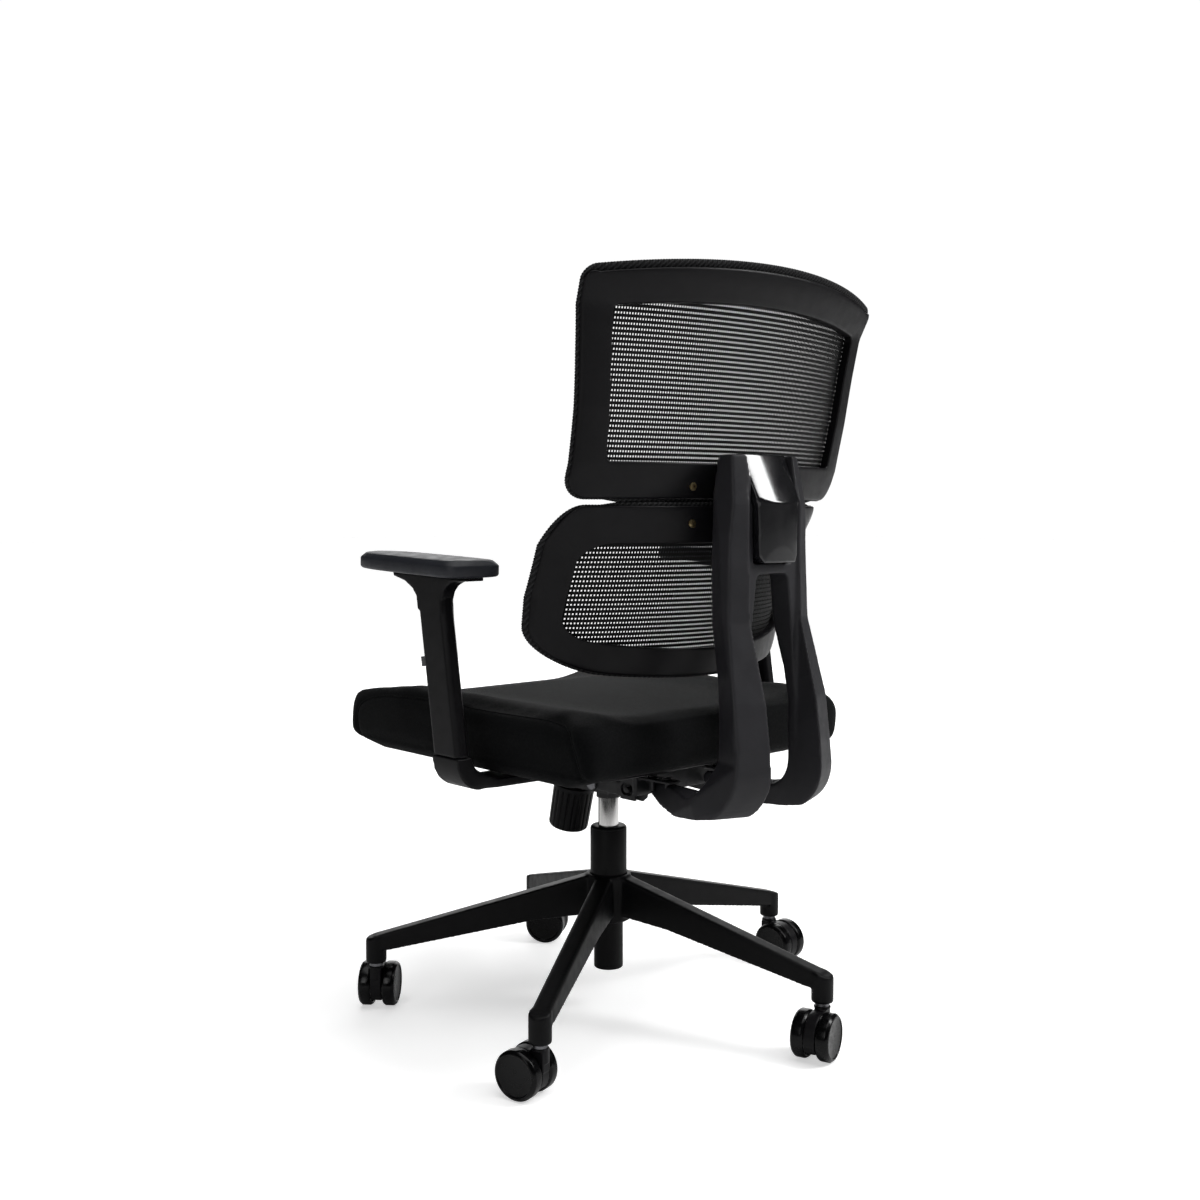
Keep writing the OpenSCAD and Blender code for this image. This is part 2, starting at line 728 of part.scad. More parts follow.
// The same outline at real size, as [x, z]
function frame_outline(o) = [for (p = unit_outline(o[7], o[8])) let (
    up = (p[1] + 1) / 2, across = p[0] * p[0]
) [p[0] * mix(o[0], o[1], pow(up, o[6])), mix(o[2] + o[5] * across, o[3] + o[4] * (1 - across), up)]];

// Thickness of a frame at a share of the way from its opening to its thin outer edge
function band_t(share) = mix(frame_t, frame_edge_t, pow(share, 1.5));

// Triangles between two neighbouring rows of points in a closed grid
function quad(a, b, c, d) = [[a, b, c], [a, c, d]];

module frame_band(outer, inner, line, bend) {
    out = frame_outline(outer);
    in = frame_outline(inner);
    count = len(out);
    section = 2 * (band_steps + 1);
    points = [for (i = [0 : count - 1], j = [0 : section - 1]) let (
        back = j <= band_steps,
        share = (back ? j : section - 1 - j) / band_steps,
        p = mix(in[i], out[i], share)
    ) [p[0], rear_face(p[0], p[1], line, bend) - (back ? 0 : band_t(share)), p[1]]];
    faces = [for (i = [0 : count - 1], j = [0 : section - 1]) let (
        next = (i + 1) % count, up = (j + 1) % section
    ) each quad(i * section + j, i * section + up, next * section + up, next * section + j)];
    polyhedron(points, faces);
}

// Thin sheet stretched over the front of a frame and its opening
module mesh_sheet(outer, inner, line, bend) {
    out = frame_outline(outer);
    in = frame_outline(inner);
    count = len(out);
    middle = [0, (inner[2] + inner[3]) / 2];
    shares = concat(
        [for (k = [1 : mesh_rings]) k / mesh_rings - 1],
        [for (k = [1 : band_steps]) 0.985 * k / band_steps]
    );
    rings = len(shares);
    place = function (p, share, side)
        [p[0], rear_face(p[0], p[1], line, bend) - band_t(max(share, 0)) - mesh_gap - side * mesh_t, p[1]];
    points = [for (side = [0, 1]) each concat(
        [place(middle, 0, side)],
        [for (share = shares, i = [0 : count - 1])
            place(share < 0 ? mix(middle, in[i], share + 1) : mix(in[i], out[i], share), share, side)]
    )];
    half = 1 + rings * count;
    at = function (k, i) 1 + (k - 1) * count + i % count;
    faces = [for (i = [0 : count - 1]) each concat(
        [[0, at(1, i + 1), at(1, i)], [half, half + at(1, i), half + at(1, i + 1)]],
        [for (k = [1 : rings - 1]) each concat(
            quad(at(k, i), at(k, i + 1), at(k + 1, i + 1), at(k + 1, i)),
            quad(half + at(k, i + 1), half + at(k, i), half + at(k + 1, i), half + at(k + 1, i + 1))
        )],
        quad(at(rings, i), at(rings, i + 1), half + at(rings, i + 1), half + at(rings, i))
    )];
    polyhedron(points, faces);
}

module upper_frame() {
    color("#1b1c1e") frame_band(upper_outer, upper_inner, upper_line, upper_bend);
}

module upper_mesh() {
    color("#101112") mesh_sheet(upper_outer, upper_inner, upper_line, upper_bend);
}

module lower_frame() {
    color("#1b1c1e") frame_band(lower_outer, lower_inner, lower_line, lower_bend);
}

module lower_mesh() {
    color("#101112") mesh_sheet(lower_outer, lower_inner, lower_line, lower_bend);
}

// Frame screws beside the spine, and the bolts that hold the spine to its bracket
module back_screws() {
    frame_y = [rear_face(80, 668, lower_line, lower_bend), rear_face(80, 712, upper_line, upper_bend)];
    color("#a98c4a") both_sides() {
        for (i = [0, 1]) {
            bar_y(frame_y[i] + 0.6, frame_y[i] + 3.6, [80, 668 + 44 * i], 5);
            bar_y(frame_y[i] - 7, frame_y[i] + 1, [80, 668 + 44 * i], 2.2);
        }
        for (y = [146, 172]) {
            bar_z(347.2, 350.2, [60, y], 5.5);
            bar_z(330, 348, [60, y], 3);
        }
    }
}

// ---------- casters ----------

// Places children at a caster, with the stem on their Z axis and the trail along their +X
module at_caster(k) {
    a = first_leg_angle + 360 / leg_count * (k - 1);
    translate([caster_circle_r * cos(a), caster_circle_r * sin(a), 0])
        rotate([0, 0, trail_angles[k - 1]]) children();
}

module caster_hood(k) {
    shell_r = wheel_d / 2 - 1.5;
    color("#161719") at_caster(k) difference() {
        union() {
            intersection() {
                bar_y(-hood_w / 2, hood_w / 2, axle_at, shell_r);
                slab([-30, -20, 13], [60, 20, 70]);
            }
            slab([-9, -hood_w / 2, 34], [caster_trail, hood_w / 2, 58]);
            bar_z(44, 62, [0, 0], 10.5);
        }
        bar_z(30, 63, [0, 0], stem_r);
        bar_y(-20, 20, axle_at, axle_r);
        both_sides_y() slab([-20, hood_w / 2, 0], [60, 30, axle_at[1] + shell_r + 0.5]);
    }
}

module both_sides_y() {
    children();
    mirror([0, 1, 0]) children();
}

module caster_pins(k) {
    color("#9b9ea2") at_caster(k) {
        bar_z(46, 96, [0, 0], stem_r);
        bar_z(62, socket_bottom_z - 0.3, [0, 0], 9);
        bar_y(-wheel_cap[0] + 0.3, wheel_cap[0] - 0.3, axle_at, axle_r);
    }
}

// side is +1 or -1 along the axle
module caster_wheel(k, side) {
    inner = wheel_inner;
    outer = wheel_outer;
    r = wheel_d / 2;
    color("#0c0d0e") at_caster(k) translate([axle_at[0], 0, axle_at[1]]) rotate([-90 * side, 0, 0]) ring([
        [axle_r + run, inner], [9, inner], [9, inner + 6],
        [r - 5, inner + 6], [r - 4, inner + 0.4], [r - 2, inner],
        [r, inner + 3], [r, outer - 4], [r - 2.5, outer - 0.8], [r - 5, outer], [r - 6, wheel_cap[1]],
        [0, wheel_cap[1]], [0, wheel_cap[0]], [axle_r + run, wheel_cap[0]]
    ]);
}

// ---------- assembly ----------

star_base();
column_tube();
column_bush();
thrust_bearing();
column_clip();
piston_rod();
gas_cylinder();
release_pin();
mechanism_housing();
tilt_axle();
front_axle();
tension_spring();
tension_bolt();
tension_knob();
lever_bush();
lever_rod();
lever_paddle();
seat_plate();
seat_board();
seat_cover();
seat_cushion();
seat_screws();
arm_bracket();  // left_arm_bracket
arm_post();  // left_arm_post
arm_sleeve();  // left_arm_sleeve
arm_button();  // left_arm_button
arm_pad();  // left_arm_pad
mirror([1, 0, 0]) arm_bracket();  // right_arm_bracket
mirror([1, 0, 0]) arm_post();  // right_arm_post
mirror([1, 0, 0]) arm_sleeve();  // right_arm_sleeve
mirror([1, 0, 0]) arm_button();  // right_arm_button
mirror([1, 0, 0]) arm_pad();  // right_arm_pad
back_bracket();
spine();
spine_cap();
upper_frame();
upper_mesh();
lower_frame();
lower_mesh();
back_screws();
for (k = [1 : leg_count]) {
    caster_hood(k);
    caster_pins(k);
    caster_wheel(k, 1);
    caster_wheel(k, -1);
}
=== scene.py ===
import json
import math
from collections import namedtuple

import bmesh
import bpy
import numpy as np
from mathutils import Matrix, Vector
from mathutils.bvhtree import BVHTree

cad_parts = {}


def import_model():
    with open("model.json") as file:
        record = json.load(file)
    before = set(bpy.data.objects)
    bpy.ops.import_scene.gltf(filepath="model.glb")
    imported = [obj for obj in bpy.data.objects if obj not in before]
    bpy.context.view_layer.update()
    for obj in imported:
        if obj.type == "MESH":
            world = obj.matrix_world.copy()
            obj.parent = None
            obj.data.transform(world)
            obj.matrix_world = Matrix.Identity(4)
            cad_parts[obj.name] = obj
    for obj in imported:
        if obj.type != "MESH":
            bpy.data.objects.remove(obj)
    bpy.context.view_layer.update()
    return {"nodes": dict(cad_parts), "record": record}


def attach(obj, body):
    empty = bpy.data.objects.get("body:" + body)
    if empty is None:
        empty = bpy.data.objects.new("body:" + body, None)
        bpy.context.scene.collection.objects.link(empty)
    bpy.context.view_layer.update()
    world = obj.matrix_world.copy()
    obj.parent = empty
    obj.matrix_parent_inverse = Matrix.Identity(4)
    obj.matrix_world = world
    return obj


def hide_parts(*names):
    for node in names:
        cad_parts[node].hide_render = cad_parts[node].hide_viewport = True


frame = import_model()
SLOTS = {row["node"]: row["material_slot"] for row in frame["record"]["subparts"]}
BODIES = {n: body for body, names in frame["record"]["behaviour"]["bodies"].items() for n in names}


# ---------- mesh helpers ----------


def mesh_object(name, points, faces):
    mesh = bpy.data.meshes.new(name)
    mesh.from_pydata([tuple(p) for p in points], [], faces)
    mesh.validate()
    piece = bpy.data.objects.new(name, mesh)
    bpy.context.scene.collection.objects.link(piece)
    return piece


def closed_piece(name, points, faces, smooth_angle=None):
    """A closed mesh whose faces all look outward."""
    piece = mesh_object(name, points, faces)
    bm = bmesh.new()
    bm.from_mesh(piece.data)
    bmesh.ops.recalc_face_normals(bm, faces=bm.faces)
    bm.to_mesh(piece.data)
    bm.free()
    shade(piece, smooth_angle)
    return piece


def shade(piece, smooth_angle=None):
    """Smooth shading, with edges sharper than the angle kept crisp."""
    mesh = piece.data
    mesh.polygons.foreach_set("use_smooth", [True] * len(mesh.polygons))
    if smooth_angle is not None:
        mesh.set_sharp_from_angle(angle=math.radians(smooth_angle))
    mesh.update()


def ramp(value, start, end):
    """0 up to start, 1 from end on, straight between."""
    return min(max((value - start) / (end - start), 0), 1)


def vectors(mesh, what="co"):
    """The place or normal of each vertex, one row each."""
    flat = np.empty(len(mesh.vertices) * 3, np.float32)
    mesh.vertices.foreach_get(what, flat)
    return flat.reshape(-1, 3).astype(float)


def place_vertices(mesh, points):
    mesh.vertices.foreach_set("co", points.astype(np.float32).ravel())


def grid_faces(rows, columns, close_rows=True, close_columns=True):
    """Quads of a grid of points, wrapped round in either direction."""
    faces = []
    for i in range(rows if close_rows else rows - 1):
        for j in range(columns if close_columns else columns - 1):
            k = (i + 1) % rows
            m = (j + 1) % columns
            faces.append((i * columns + j, i * columns + m, k * columns + m, k * columns + j))
    return faces


def tube_faces(rings, sides):
    """Faces of a stack of rings, closed at both ends."""
    faces = grid_faces(rings, sides, close_rows=False)
    faces.append(tuple(range(sides))[::-1])
    faces.append(tuple(range((rings - 1) * sides, rings * sides)))
    return faces


def apply_modifiers(piece):
    """Bakes the modifiers into the mesh."""
    graph = bpy.context.evaluated_depsgraph_get()
    mesh = bpy.data.meshes.new_from_object(piece.evaluated_get(graph))
    piece.modifiers.clear()
    piece.data = mesh


def copy_node(node, name):
    """A piece of its own with a CAD node's shape, its corners welded."""
    piece = bpy.data.objects.new(name, frame["nodes"][node].data.copy())
    bpy.context.scene.collection.objects.link(piece)
    bm = bmesh.new()
    bm.from_mesh(piece.data)
    bmesh.ops.remove_doubles(bm, verts=bm.verts, dist=1e-6)
    bm.to_mesh(piece.data)
    bm.free()
    return piece


def stand_for(piece, node):
    """The piece takes its node's place, body, slot and material."""
    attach(piece, BODIES[node])
    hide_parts(node)
    dress(piece, node)
    return piece


def dress(piece, node, look=None):
    """Gives a piece the slot of one node, and that node's material unless another is named."""
    piece.data.materials.clear()
    piece.data.materials.append(MATERIALS[look or LOOKS.get(node, SLOTS[node])])


def prism(piece, outline, x0, x1):
    """Adds a block to a piece: an outline in [y, z] drawn along X."""
    bm = bmesh.new()
    bm.from_mesh(piece.data)
    ends = [[bm.verts.new((x, y, z)) for y, z in outline] for x in (x0, x1)]
    bm.faces.new(ends[0])
    bm.faces.new(ends[1][::-1])
    for k in range(len(outline)):
        m = (k + 1) % len(outline)
        bm.faces.new((ends[0][k], ends[1][k], ends[1][m], ends[0][m]))
    bmesh.ops.recalc_face_normals(bm, faces=bm.faces)
    bm.to_mesh(piece.data)
    bm.free()


def remould(piece, voxel, rounds):
    """Rebuilds a mesh from voxels and relaxes it, which rounds its edges."""
    remesh = piece.modifiers.new("remesh", "REMESH")
    remesh.mode = "VOXEL"
    remesh.voxel_size = voxel
    relax = piece.modifiers.new("relax", "SMOOTH")
    relax.factor = 0.5
    relax.iterations = rounds
    apply_modifiers(piece)


def soften(node, voxel, rounds, added=()):
    """Rounds every edge of a moulded CAD part, with any added blocks merged into it."""
    piece = copy_node(node, node + "_moulded")
    for outline, x0, x1 in added:
        prism(piece, outline, x0, x1)
    remould(piece, voxel, rounds)
    shade(piece)
    return stand_for(piece, node)


def crisp(node, bevel):
    """Breaks the sharp edges of a machined CAD part with a small bevel."""
    piece = copy_node(node, node + "_edged")
    bm = bmesh.new()
    bm.from_mesh(piece.data)
    bmesh.ops.dissolve_limit(bm, angle_limit=math.radians(0.4), verts=bm.verts, edges=bm.edges)
    bm.to_mesh(piece.data)
    bm.free()
    edge = piece.modifiers.new("edge", "BEVEL")
    edge.width = bevel
    edge.segments = 2
    edge.limit_method = "ANGLE"
    edge.angle_limit = math.radians(28)
    apply_modifiers(piece)
    shade(piece, smooth_angle=32)
    return stand_for(piece, node)


# ---------- material helpers ----------


class Nodes:
    """Short names for building one material's node tree."""

    def __init__(self, name, colour, roughness, **sockets):
        self.material = bpy.data.materials.new(name)
        self.material.use_nodes = True
        self.tree = self.material.node_tree
        self.shader = self.tree.nodes["Principled BSDF"]
        self.shader.inputs["Base Color"].default_value = (*colour, 1)
        self.shader.inputs["Roughness"].default_value = roughness
        for socket, value in sockets.items():
            self.shader.inputs[socket.replace("_", " ")].default_value = value
        self.coordinates = self.add("ShaderNodeTexCoord").outputs["Object"]

    def add(self, kind, **values):
        node = self.tree.nodes.new(kind)
        for key, value in values.items():
            setattr(node, key, value)
        return node

    def link(self, source, node, socket):
        self.tree.links.new(source, node.inputs[socket])

    def noise(self, scale, detail=2.0, stretch=(1, 1, 1), distortion=0.0):
        place = self.add("ShaderNodeMapping")
        place.inputs["Scale"].default_value = stretch
        self.link(self.coordinates, place, "Vector")
        node = self.add("ShaderNodeTexNoise")
        node.inputs["Scale"].default_value = scale
        node.inputs["Detail"].default_value = detail
        node.inputs["Distortion"].default_value = distortion
        self.link(place.outputs["Vector"], node, "Vector")
        return node.outputs["Fac"]

    def cells(self, scale, stretch=(1, 1, 1)):
        place = self.add("ShaderNodeMapping")
        place.inputs["Scale"].default_value = stretch
        self.link(self.coordinates, place, "Vector")
        node = self.add("ShaderNodeTexVoronoi")
        node.inputs["Scale"].default_value = scale
        self.link(place.outputs["Vector"], node, "Vector")
        return node.outputs["Distance"]

    def math(self, operation, a, b=None):
        node = self.add("ShaderNodeMath", operation=operation)
        for value, socket in ((a, 0), (b, 1)):
            if isinstance(value, (int, float)):
                node.inputs[socket].default_value = value
            elif value is not None:
                self.tree.links.new(value, node.inputs[socket])
        return node.outputs["Value"]

    def between(self, value, low, high, start=0.35, end=0.65):
        node = self.add("ShaderNodeMapRange")
        node.inputs["From Min"].default_value = start
        node.inputs["From Max"].default_value = end
        node.inputs["To Min"].default_value = low
        node.inputs["To Max"].default_value = high
        self.link(value, node, "Value")
        return node.outputs["Result"]

    def tones(self, value, dark, light):
        """A colour between two tones, chosen by a value from 0 to 1."""
        node = self.add("ShaderNodeMix", data_type="RGBA")
        self.link(value, node, "Factor")
        first, second = [socket for socket in node.inputs if socket.type == "RGBA"]
        first.default_value = (*dark, 1)
        second.default_value = (*light, 1)
        return [socket for socket in node.outputs if socket.type == "RGBA"][0]

    def colour(self, value):
        self.link(value, self.shader, "Base Color")

    def roughness(self, value):
        self.link(value, self.shader, "Roughness")

    def bump(self, height, distance, strength=1.0):
        """Adds relief on top of any earlier relief."""
        node = self.add("ShaderNodeBump")
        node.inputs["Distance"].default_value = distance
        node.inputs["Strength"].default_value = strength
        self.link(height, node, "Height")
        before = self.shader.inputs["Normal"]
        if before.is_linked:
            self.link(before.links[0].from_socket, node, "Normal")
        self.link(node.outputs["Normal"], self.shader, "Normal")

    def wave(self, axis, period):
        """A sine along one axis, from 0 to 1."""
        split = self.add("ShaderNodeSeparateXYZ")
        self.link(self.coordinates, split, "Vector")
        angle = self.math("MULTIPLY", split.outputs[axis], 2 * math.pi / period)
        return self.math("ADD", self.math("MULTIPLY", self.math("SINE", angle), 0.5), 0.5)

    def weave(self, period):
        """Plain weave on any face: the two waves that lie in the face, weighed by its normal."""
        split = self.add("ShaderNodeSeparateXYZ")
        normal = self.add("ShaderNodeTexCoord").outputs["Normal"]
        self.link(normal, split, "Vector")
        waves = [self.wave(axis, period) for axis in "XYZ"]
        total = None
        for axis in range(3):
            weight = self.math("POWER", self.math("ABSOLUTE", split.outputs[axis]), 3.0)
            other = [waves[k] for k in range(3) if k != axis]
            cell = self.math("MULTIPLY", weight, self.math("MULTIPLY", other[0], other[1]))
            total = cell if total is None else self.math("ADD", total, cell)
        return total


def moulded_nylon(name, dark, light, gloss, specular):
    """Nylon with a fine spark-eroded grain, faint blotches and uneven gloss."""
    n = Nodes(name, light, gloss, Specular_IOR_Level=specular)
    n.colour(n.tones(n.between(n.noise(14, 3), 0, 1, 0.3, 0.7), dark, light))
    n.roughness(n.between(n.noise(60, 4), gloss - 0.06, gloss + 0.05, 0.3, 0.7))
    n.bump(n.noise(2600, 2), 0.00005, 0.5)
    return n.material


def nylon():
    return moulded_nylon("nylon", (0.0028, 0.0026, 0.0032), (0.0046, 0.0043, 0.0052), 0.4, 0.15)


def grey_nylon():
    """The spine's nylon is drier and lighter."""
    return moulded_nylon("grey_nylon", (0.0115, 0.0112, 0.0135), (0.0165, 0.016, 0.019), 0.5, 0.3)


def deep_nylon():
    """The blackest copy of the nylon, for the base and the parts below the seat: painted shade."""
    return moulded_nylon("deep_nylon", (0.0012, 0.0012, 0.0015), (0.0022, 0.0022, 0.0026), 0.46, 0.14)


def tube_paint():
    n = Nodes("tube_paint", (0.008, 0.008, 0.009), 0.4, Specular_IOR_Level=0.28)
    n.colour(n.tones(n.between(n.noise(30, 3), 0, 1), (0.006, 0.006, 0.007), (0.01, 0.01, 0.011)))
    n.roughness(n.between(n.noise(160, 3), 0.36, 0.46))
    n.bump(n.cells(900), 0.00003, 0.25)
    return n.material


def chrome():
    """Polished cylinder with faint lengthwise handling marks."""
    n = Nodes("chrome", (0.72, 0.71, 0.7), 0.12, Metallic=1.0)
    n.colour(n.tones(n.between(n.noise(12, 2), 0, 1), (0.66, 0.65, 0.64), (0.78, 0.77, 0.76)))
    n.roughness(n.between(n.noise(90, 4, (1, 1, 0.15)), 0.08, 0.22))
    n.bump(n.noise(400, 2, (1, 1, 8)), 0.00002, 0.2)
    return n.material


def steel():
    n = Nodes("steel", (0.16, 0.16, 0.17), 0.4, Metallic=1.0)
    n.colour(n.tones(n.between(n.noise(80, 4), 0, 1), (0.12, 0.12, 0.13), (0.2, 0.2, 0.21)))
    n.roughness(n.between(n.noise(300, 3, (1, 1, 6)), 0.26, 0.45))
    n.bump(n.noise(1200, 2), 0.00002, 0.3)
    return n.material


def black_steel():
    n = Nodes("black_steel", (0.008, 0.008, 0.009), 0.42, Specular_IOR_Level=0.28)
    n.colour(n.tones(n.between(n.noise(25, 3), 0, 1), (0.006, 0.006, 0.007), (0.011, 0.011, 0.012)))
    n.roughness(n.between(n.noise(120, 3), 0.36, 0.52))
    n.bump(n.cells(700), 0.00006, 0.35)
    return n.material


def plywood():
    n = Nodes("plywood", (0.5, 0.36, 0.22), 0.6)
    fibres = n.noise(18, 5, (1, 12, 12), 0.6)
    n.colour(n.tones(n.between(fibres, 0, 1), (0.36, 0.24, 0.13), (0.6, 0.45, 0.29)))
    n.roughness(n.between(n.noise(60, 2), 0.55, 0.7))
    n.bump(n.noise(150, 4, (1, 10, 10)), 0.0001, 0.5)
    return n.material


def upholstery():
    """Fine woven cloth, a little faded where it is brushed."""
    n = Nodes("upholstery", (0.004, 0.0042, 0.0045), 0.85, Sheen_Weight=0.03, Sheen_Roughness=0.45)
    n.shader.inputs["Specular IOR Level"].default_value = 0.08
    threads = n.weave(0.0011)
    worn = n.between(n.noise(9, 4), 0, 1, 0.3, 0.7)
    shade_of = n.math("ADD", n.math("MULTIPLY", threads, 0.55), n.math("MULTIPLY", worn, 0.45))
    n.colour(n.tones(shade_of, (0.0008, 0.001, 0.0012), (0.0042, 0.0047, 0.0052)))
    n.roughness(n.between(n.noise(400, 2), 0.78, 0.92))
    n.bump(threads, 0.00025, 0.6)
    n.bump(n.noise(35, 4), 0.0008, 0.25)
    return n.material


def mesh_fabric():
    """Open knitted mesh: thick rows of cords with thin threads between."""
    n = Nodes("mesh_fabric", (0.004, 0.004, 0.0045), 0.75, Sheen_Weight=0.03, Sheen_Roughness=0.4)
    n.shader.inputs["Specular IOR Level"].default_value = 0.15
    rows = n.wave("Z", 0.0011)
    twist = n.wave("X", 0.0025)
    yarn = n.math("MULTIPLY", rows, twist)
    lightness = n.math("ADD", n.math("MULTIPLY", yarn, 0.7), 0.1)
    n.colour(n.tones(lightness, (0.002, 0.0021, 0.0022), (0.0095, 0.0098, 0.01)))
    n.roughness(n.between(n.noise(500, 2), 0.65, 0.85))
    n.bump(yarn, 0.0003, 0.7)
    return n.material


def hem_weave():
    """Woven border with slanting ribs."""
    n = Nodes("hem_weave", (0.008, 0.008, 0.009), 0.7, Specular_IOR_Level=0.2)
    turn = n.add("ShaderNodeMapping")
    turn.inputs["Rotation"].default_value = (0, math.radians(38), 0)
    n.link(n.coordinates, turn, "Vector")
    n.coordinates = turn.outputs["Vector"]
    ribs = n.math("POWER", n.wave("X", 0.0052), 1.5)
    threads = n.math("MULTIPLY", n.wave("Z", 0.0013), ribs)
    n.colour(n.tones(n.math("ADD", n.math("MULTIPLY", threads, 0.6), n.math("MULTIPLY", ribs, 0.4)),
                     (0.0025, 0.0025, 0.0028), (0.03, 0.03, 0.032)))
    n.roughness(n.between(n.noise(500, 2), 0.6, 0.8))
    n.bump(ribs, 0.0006, 0.8)
    n.bump(threads, 0.0003, 0.7)
    return n.material


def pad_pu():
    """Soft integral-skin foam with a fine leather grain."""
    n = Nodes("pad_pu", (0.017, 0.0185, 0.024), 0.5, Specular_IOR_Level=0.35)
    n.colour(n.tones(n.between(n.noise(20, 3), 0, 1), (0.0135, 0.0145, 0.0195), (0.019, 0.0205, 0.0265)))
    n.roughness(n.between(n.noise(70, 3), 0.42, 0.55))
    n.bump(n.cells(900), 0.00008, 0.35)
    return n.material


def gloss_black():
    """Piano-black lacquered plastic with the slightest orange peel."""
    n = Nodes("gloss_black", (0.006, 0.006, 0.007), 0.12, Coat_Weight=0.35, Coat_Roughness=0.1)
    n.colour(n.tones(n.between(n.noise(8, 2), 0, 1), (0.004, 0.004, 0.005), (0.008, 0.008, 0.009)))
    n.roughness(n.between(n.noise(40, 4), 0.12, 0.18))
    n.bump(n.noise(90, 1), 0.0001, 0.05)
    return n.material


def brass_screws():
    n = Nodes("brass_screws", (0.5, 0.4, 0.2), 0.32, Metallic=1.0)
    n.colour(n.tones(n.between(n.noise(300, 4), 0, 1), (0.36, 0.27, 0.12), (0.62, 0.5, 0.28)))
    n.roughness(n.between(n.noise(900, 3), 0.25, 0.45))
    n.bump(n.noise(1500, 2), 0.00003, 0.4)
    return n.material


def wheel_nylon():
    """Glossy wheels whose gloss varies a little at random."""
    n = Nodes("wheel_nylon", (0.003, 0.003, 0.0035), 0.2, Specular_IOR_Level=0.18)
    n.colour(n.tones(n.between(n.noise(35, 3), 0, 1), (0.001, 0.001, 0.0012), (0.0024, 0.0024, 0.0028)))
    n.roughness(n.between(n.noise(110, 4), 0.14, 0.3))
    n.bump(n.noise(700, 2), 0.00004, 0.2)
    return n.material


def valve_red():
    n = Nodes("valve_red", (0.4, 0.03, 0.03), 0.45)
    n.colour(n.tones(n.between(n.noise(60, 3), 0, 1), (0.34, 0.02, 0.02), (0.5, 0.05, 0.05)))
    n.bump(n.noise(1500, 2), 0.00004, 0.4)
    return n.material


MAKERS = (
    nylon, grey_nylon, deep_nylon, tube_paint, chrome, steel, black_steel, plywood, upholstery,
    mesh_fabric, hem_weave, pad_pu, gloss_black, brass_screws, wheel_nylon, valve_red,
)
MATERIALS = {maker.__name__: maker() for maker in MAKERS}

# Nodes whose plastic or metal differs a little from the rest of their slot; the base and the parts below the
# seat get a darker nylon, which is painted shade
LOOKS = {
    "spine": "grey_nylon",
    "star_base": "deep_nylon",
    "column_tube": "deep_nylon",
    "column_bush": "deep_nylon",
    "tension_knob": "deep_nylon",
}

for node_name, cad_object in frame["nodes"].items():
    cad_object.data.materials.clear()
    cad_object.data.materials.append(MATERIALS[LOOKS.get(node_name, SLOTS[node_name])])


# ---------- back frames and mesh ----------

# A frame's thickness at its opening and at its outer edge, its lip's radius and its rear face's crown
FRAME_T = 0.012
FRAME_EDGE_T = 0.004
FRAME_LIP = 0.0022
FRAME_CROWN = 0.0012
# The fabric's distance in front of the frame, its thickness, and the pitch of its rows and of its holes
MESH_GAP = 0.002
MESH_T = 0.0009
MESH_ROW = 0.0057
MESH_HOLE = 0.0034
# How far inside the frame's outline the fabric ends, and its holes do
MESH_EDGE = 0.0035
MESH_BORDER = 0.0075
# Pitch and height of the hem's stitches, and how far the hem laps inward
STITCH = 0.0033
STITCH_TOOTH = 0.0005
HEM_LAP = 0.0045
# Bulge of the hems where the two halves meet, and how far from the middle it reaches
JOIN_BULGE = 0.0033
JOIN_HALF_W = 0.19
# Round the hem from its outer edge: share of its width, height over the fabric
HEM_SECTION = [
    (0.05, -0.0016), (0.0, 0.0), (0.1, 0.0014), (0.28, 0.0021), (0.46, 0.0016), (0.64, 0.0021),
    (0.82, 0.0016), (0.96, 0.0006), (1.0, -0.0006), (0.82, -0.0022), (0.4, -0.0024),
]

# One half of the back.
# outer, inner: the frame's outline and opening, as half widths at the bottom and top, heights there, rise of
# the top, sag of the bottom, flare of the sides, and the top and bottom corners as shares of the half size.
# line: the frame's rear face, as [height, distance behind the column's axis]. bend: [height, radius] of it.
# hem: width of hem that shows at the sides, top and bottom. join: 1 where the other half is above, -1 below.
# solid: shares of a row and of a hole that are cord and thread. flat: the fabric's size before stretching.
Back = namedtuple("Back", "name outer inner line bend hem join solid flat")
UPPER = Back(
    name="upper",
    outer=(0.240, 0.259, 0.696, 0.952, 0.020, 0, 2, (0.06, 0.12), (0.115, 0.22)),
    inner=(0.201, 0.216, 0.740, 0.912, 0.012, 0, 1, (0.035, 0.08), (0.035, 0.08)),
    line=[(0.690, 0.228), (0.737, 0.246), (0.8, 0.26), (0.86, 0.27), (0.912, 0.28), (0.947, 0.297),
          (0.98, 0.309)],
    bend=[(0.690, 0.620), (0.990, 0.620)],
    hem=(0.0024, 0.0095, 0.0012),
    join=-1,
    solid=(0.61, 0.4),
    flat=(0.52, 0.28),
)
LOWER = Back(
    name="lower",
    outer=(0.229, 0.237, 0.475, 0.6905, 0, 0.020, 1, (0.13, 0.46), (0.36, 0.52)),
    inner=(0.201, 0.199, 0.512, 0.644, 0, 0.020, 1, (0.17, 0.42), (0.17, 0.45)),
    line=[(0.470, 0.188), (0.522, 0.201), (0.58, 0.222), (0.643, 0.236), (0.692, 0.241)],
    bend=[(0.470, 0.315), (0.522, 0.306), (0.58, 0.293), (0.643, 0.325), (0.692, 0.430)],
    hem=(0.0042, 0.0012, 0.0022),
    join=1,
    solid=(0.66, 0.46),
    flat=(0.50, 0.205),
)


def rear_face(x, z, back):
    """Distance of a frame's rear face behind the column's axis."""
    radius = np.interp(z, *zip(*back.bend))
    return np.interp(z, *zip(*back.line)) - (radius - np.sqrt(radius * radius - x * x))


